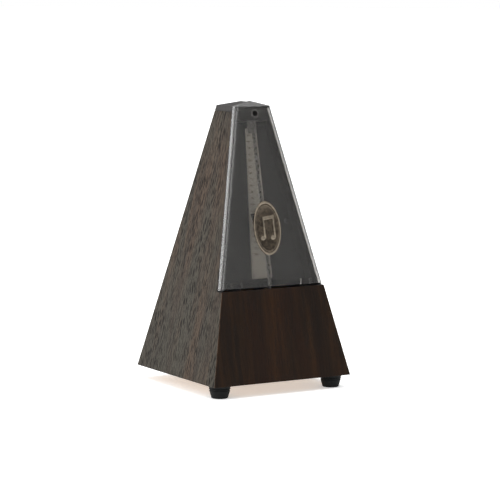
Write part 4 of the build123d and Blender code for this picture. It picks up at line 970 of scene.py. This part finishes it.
FOOT_LIP = 0.8 * MM
FOOT_SWELL = 0.12 * MM
FOOT_BAND = 0.7 * MM
FOOT_RECESS = 3.1 * MM
FOOT_BORE = 1.7 * MM
FOOT_RECESS_TOP = 6.0 * MM
LIP_STEPS = 6
SOLE_LIP_SHARE = 0.6
# Each groove's place, as a share of the height from the top, and its section.
GROOVES = (0.22, 0.36)
GROOVE_DEPTH = 0.35 * MM
GROOVE_SECTION = ((0.45 * MM, 0), (0.2 * MM, 1), (-0.2 * MM, 1), (-0.45 * MM, 0))
# The ring pressed into the sole: how far in from the sole's edge, and how deep.
SOLE_RING_DEPTH = 0.3 * MM
SOLE_RING = ((1.4 * MM, 0), (1.6 * MM, SOLE_RING_DEPTH), (2.0 * MM, SOLE_RING_DEPTH), (2.2 * MM, 0))


def sole_radius(node):
    """The radius of a foot's flat sole in CAD, widened by part of the lip."""
    floor_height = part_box(node)[0].z
    middle = centre(node)
    sole = [v.co for v in frame["nodes"][node].data.vertices if v.co.z < floor_height + 0.01 * MM]
    reach = max(math.hypot(c.x - middle.x, c.y - middle.y) for c in sole)
    return reach + FOOT_LIP * SOLE_LIP_SHARE


def rubber_foot(node):
    """A tapered foot with a grooved skirt, a rounded lip and a ring pressed into its sole."""
    low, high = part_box(node)
    top = (high.x - low.x) / 2
    height = high.z - low.z
    bottom = sole_radius(node)
    profile = [(FOOT_BORE, height), (top, height), (top, height - FOOT_BAND)]
    for groove in GROOVES:
        level = height * (1 - groove)
        wall = bottom + (top - bottom) * level / height
        for shift, cut in GROOVE_SECTION:
            profile.append((wall - cut * GROOVE_DEPTH, level + shift))
    lip_reach = bottom + FOOT_SWELL - FOOT_LIP
    for step in range(LIP_STEPS + 1):
        turn = math.radians(-90 * step / LIP_STEPS)
        profile.append((lip_reach + FOOT_LIP * math.cos(turn), FOOT_LIP + FOOT_LIP * math.sin(turn)))
    profile += [(bottom - inset, depth) for inset, depth in SOLE_RING]
    profile += [(FOOT_RECESS + SOLE_RING_DEPTH, 0), (FOOT_RECESS, SOLE_RING_DEPTH)]
    profile += [(FOOT_RECESS, FOOT_RECESS_TOP), (FOOT_BORE, FOOT_RECESS_TOP)]
    shape = bmesh.new()
    middle = centre(node)
    turned(shape, profile, Matrix.Translation((middle.x, middle.y, low.z)), steps=64, closed=True)
    link("moulded_" + node, settle(shape, node), "rubber", "root", (node,))


for foot_node in ("foot_front_left", "foot_front_right", "foot_rear"):
    rubber_foot(foot_node)

# ---------------------------------------------------------------- winding key

KEY_WING_HALF = 1.2 * MM
KEY_WEB_HALF = 0.7 * MM
KEY_EYE = 1.9 * MM
KEY_RIM = 1.5 * MM
KEY_EDGE = 0.3 * MM
KEY_LOBE_RADIUS = 6.0 * MM
KEY_LOBE_INSET = 0.75 * MM
KEY_BORE = 2.2 * MM
KEY_MOUTH_EDGE = 0.4 * MM
KEY_COLLAR = 0.5 * MM
KEY_COLLAR_ENDS = (1.4 * MM, 1.8 * MM)
# Where the barrel's raised band starts, is full, ends and is gone, as shares of its length.
KEY_BAND = (0.55, 0.62, 0.74, 0.8)
KEY_BAND_INSET = 0.2 * MM
KEY_TIP = 0.9 * MM
KEY_TIP_INSET = 1.6 * MM
# The web between barrel and lobes.
KEY_NECK_START = 0.7
KEY_NECK_HALF = 2.4 * MM
KEY_NECK_SETBACK = 1.5 * MM
KEY_NECK_REACH = 1.6 * MM
KEY_NECK_SPREAD = 0.75


def key_lobe(shape, middle, radius):
    """A pierced lobe: a thick rolled rim round a thin web with an eye."""
    ring = radius - KEY_WING_HALF
    profile = []
    for step in range(13):
        turn = math.radians(-90 + 180 * step / 12)
        profile.append((ring + KEY_WING_HALF * math.cos(turn), KEY_WING_HALF * math.sin(turn)))
    profile += [(ring - 0.5 * KEY_RIM, KEY_WING_HALF), (ring - KEY_RIM, KEY_WEB_HALF)]
    profile += [(KEY_EYE + KEY_EDGE, KEY_WEB_HALF), (KEY_EYE, KEY_WEB_HALF - KEY_EDGE)]
    profile += [(KEY_EYE, KEY_EDGE - KEY_WEB_HALF), (KEY_EYE + KEY_EDGE, -KEY_WEB_HALF)]
    profile += [(ring - KEY_RIM, -KEY_WEB_HALF), (ring - 0.5 * KEY_RIM, -KEY_WING_HALF)]
    turned(shape, profile, Matrix.Translation(middle), steps=56, closed=True)


def butterfly_key():
    """A two-lobed winding key with a collared barrel."""
    low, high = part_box("winding_key")
    middle = (low + high) / 2
    shape = bmesh.new()
    lobe_x = high.x - KEY_LOBE_RADIUS - KEY_LOBE_INSET
    spread = (high.y - low.y) / 2 - KEY_LOBE_RADIUS
    for side in (-1, 1):
        key_lobe(shape, Vector((lobe_x, middle.y + side * spread, middle.z)), KEY_LOBE_RADIUS)
    barrel = (high.z - low.z) / 2
    neck_x = lobe_x - KEY_NECK_SETBACK
    length = neck_x - low.x
    profile = [(KEY_BORE, 0), (barrel - KEY_MOUTH_EDGE, 0), (barrel, KEY_MOUTH_EDGE)]
    profile += [(barrel, KEY_COLLAR_ENDS[0]), (barrel - KEY_COLLAR, KEY_COLLAR_ENDS[1])]
    for share, inset in zip(KEY_BAND, (KEY_COLLAR, KEY_BAND_INSET, KEY_BAND_INSET, KEY_COLLAR)):
        profile.append((barrel - inset, share * length))
    profile += [(barrel - KEY_TIP, length), (barrel - KEY_TIP_INSET, length + KEY_TIP)]
    profile.append((KEY_BORE, length + KEY_TIP))
    along_x = Matrix.Translation((low.x, middle.y, middle.z)) @ Matrix.Rotation(math.pi / 2, 4, "Y")
    turned(shape, profile, along_x, steps=48, closed=True)

    def on_key(x, y, z):
        return Vector((x, middle.y + y, middle.z + z))

    neck_start = low.x + KEY_NECK_START * length
    neck_end = lobe_x + KEY_NECK_REACH
    neck_half = spread * KEY_NECK_SPREAD
    upper = [(neck_end, neck_half), (neck_x, neck_half), (neck_start, KEY_NECK_HALF)]
    outline = [(x, -y) for x, y in reversed(upper)] + upper
    slab(shape, outline, -KEY_WEB_HALF, KEY_WEB_HALF, KEY_EDGE, on_key)
    mesh = settle(shape, "butterfly_key")
    link("butterfly_key", mesh, "nickel", "winding", ("winding_key",))


butterfly_key()

# ---------------------------------------------------------------- CAD nodes that stay, with their materials

KEPT = {
    "plywood": ["base_plate", "corner_blocks", "board_cleats"],
    "stud": ["cover_stud"],
    "steel": ["verge_arbor", "front_pallet", "rear_pallet", "escape_arbor", "second_arbor"]
    + ["winding_arbor", "ratchet_wheel", "click", "movement_pillars", "potence_pillar", "barrel_cover"],
    "blued": ["mainspring", "click_spring", "weight_spring"],
    "zinc": ["scale_pins", "click_screw"],
    "brass": ["movement_plate_left", "movement_plate_right", "front_bridge", "rear_cock", "potence"]
    + ["crown_wheel", "crown_collet", "second_wheel", "mainspring_barrel"],
    "iron": ["lower_bob"],
}

for kept_look, kept_nodes in KEPT.items():
    for kept_node in kept_nodes:
        for material_slot in frame["nodes"][kept_node].material_slots:
            material_slot.material = looks[kept_look]

# ---------------------------------------------------------------- floor, light and camera

FLOOR_RADIUS = 30.0
FLOOR_SIDES = 96
FLOOR_GLOW = 0.4


def floor():
    """A wide pale studio floor."""
    look = Look("studio_floor", {"Specular IOR Level": 0.1})
    cloud = look.noise(look.place, (0.8,) * 3, detail=2.0)
    colour = look.blend(look.span(cloud, 0.3, 0.7), (0.93, 0.93, 0.93, 1), (0.95, 0.95, 0.95, 1))
    look.surface(colour, 0.9)
    look.shader.inputs["Emission Color"].default_value = (1, 1, 1, 1)
    look.shader.inputs["Emission Strength"].default_value = FLOOR_GLOW
    shape = bmesh.new()
    ring = []
    for side in range(FLOOR_SIDES):
        turn = 2 * math.pi * side / FLOOR_SIDES
        ring.append(shape.verts.new((FLOOR_RADIUS * math.cos(turn), FLOOR_RADIUS * math.sin(turn), 0)))
    shape.faces.new(ring)
    mesh = bpy.data.meshes.new("floor")
    shape.to_mesh(mesh)
    shape.free()
    mesh.materials.append(look.material)
    plane = bpy.data.objects.new("floor", mesh)
    bpy.context.scene.collection.objects.link(plane)


FRONT_FLAG = {"toward": (0.45, -0.87, 0.15), "edge": 0.25, "core": 0.9}
REAR_FLAG = {"toward": (0.55, 0.83, -0.05), "edge": 0.88, "core": 0.96}
WORLD_BRIGHT = 1.05
WORLD_DARK = 0.08


def studio_world():
    """Soft light from all round, with a dark flag in front and one behind, and a white backdrop."""
    world = bpy.data.worlds.new("studio")
    world.use_nodes = True
    tree = world.node_tree
    tree.nodes.clear()
    direction = tree.nodes.new("ShaderNodeTexCoord").outputs["Generated"]
    darkest = tree.nodes.new("ShaderNodeMath")
    darkest.operation = "MINIMUM"
    for index, flag in enumerate((FRONT_FLAG, REAR_FLAG)):
        toward_flag = tree.nodes.new("ShaderNodeVectorMath")
        toward_flag.operation = "DOT_PRODUCT"
        toward_flag.inputs[1].default_value = flag["toward"]
        tree.links.new(direction, toward_flag.inputs[0])
        fall = tree.nodes.new("ShaderNodeMapRange")
        fall.interpolation_type = "SMOOTHSTEP"
        fall.inputs["From Min"].default_value = flag["edge"]
        fall.inputs["From Max"].default_value = flag["core"]
        fall.inputs["To Min"].default_value = WORLD_BRIGHT
        fall.inputs["To Max"].default_value = WORLD_DARK
        tree.links.new(toward_flag.outputs["Value"], fall.inputs["Value"])
        tree.links.new(fall.outputs[0], darkest.inputs[index])
    light = tree.nodes.new("ShaderNodeBackground")
    tree.links.new(darkest.outputs[0], light.inputs["Strength"])
    backdrop = tree.nodes.new("ShaderNodeBackground")
    backdrop.inputs["Strength"].default_value = 1.0
    for node in (light, backdrop):
        node.inputs["Color"].default_value = (1, 1, 1, 1)
    mix = tree.nodes.new("ShaderNodeMixShader")
    seen = tree.nodes.new("ShaderNodeLightPath").outputs["Is Camera Ray"]
    tree.links.new(seen, mix.inputs[0])
    tree.links.new(light.outputs[0], mix.inputs[1])
    tree.links.new(backdrop.outputs[0], mix.inputs[2])
    out = tree.nodes.new("ShaderNodeOutputWorld")
    tree.links.new(mix.outputs[0], out.inputs["Surface"])
    bpy.context.scene.world = world


def lamp(name, kind, strength, place, target, **settings):
    """A soft white lamp aimed at a point."""
    data = bpy.data.lights.new(name, kind)
    data.energy = strength
    for key, value in settings.items():
        setattr(data, key, value)
    made = bpy.data.objects.new(name, data)
    made.location = place
    made.rotation_euler = (target - place).to_track_quat("-Z", "Y").to_euler()
    bpy.context.scene.collection.objects.link(made)


CAMERA_TARGET = Vector((0.0027, -0.0057, 0.1014))
CAMERA_DISTANCE = 1.683
CAMERA_YAW = math.radians(31.11)
CAMERA_PITCH = math.radians(6.70)
CAMERA_ROLL = math.radians(0.28)
CAMERA_LENS = 160.9


def camera():
    """The camera, at the low three-quarter angle from the front left."""
    data = bpy.data.cameras.new("camera")
    data.lens = CAMERA_LENS
    data.sensor_width = 36.0
    data.clip_end = 100.0
    made = bpy.data.objects.new("camera", data)
    look = Matrix.Rotation(-CAMERA_YAW, 4, "Z") @ Matrix.Rotation(math.pi / 2 - CAMERA_PITCH, 4, "X")
    backward = look @ Vector((0, 0, 1))
    rolled = look @ Matrix.Rotation(CAMERA_ROLL, 4, "Z")
    made.matrix_world = Matrix.Translation(CAMERA_TARGET + backward * CAMERA_DISTANCE) @ rolled
    bpy.context.scene.collection.objects.link(made)
    bpy.context.scene.camera = made


floor()
studio_world()
aim = Vector((0, 0, 0.1))
lamp("overhead", "SUN", 1.6, Vector((0, 0, 2)), aim, angle=math.radians(60))
lamp("left_softbox", "AREA", 9.0, Vector((-1.6, -0.9, 0.9)), aim, shape="RECTANGLE", size=1.2, size_y=1.4)
lamp("rear_softbox", "AREA", 6.0, Vector((-0.85, 1.4, 0.28)), aim, shape="RECTANGLE", size=0.5, size_y=1.2)
camera()
bpy.context.scene.view_settings.view_transform = "Standard"
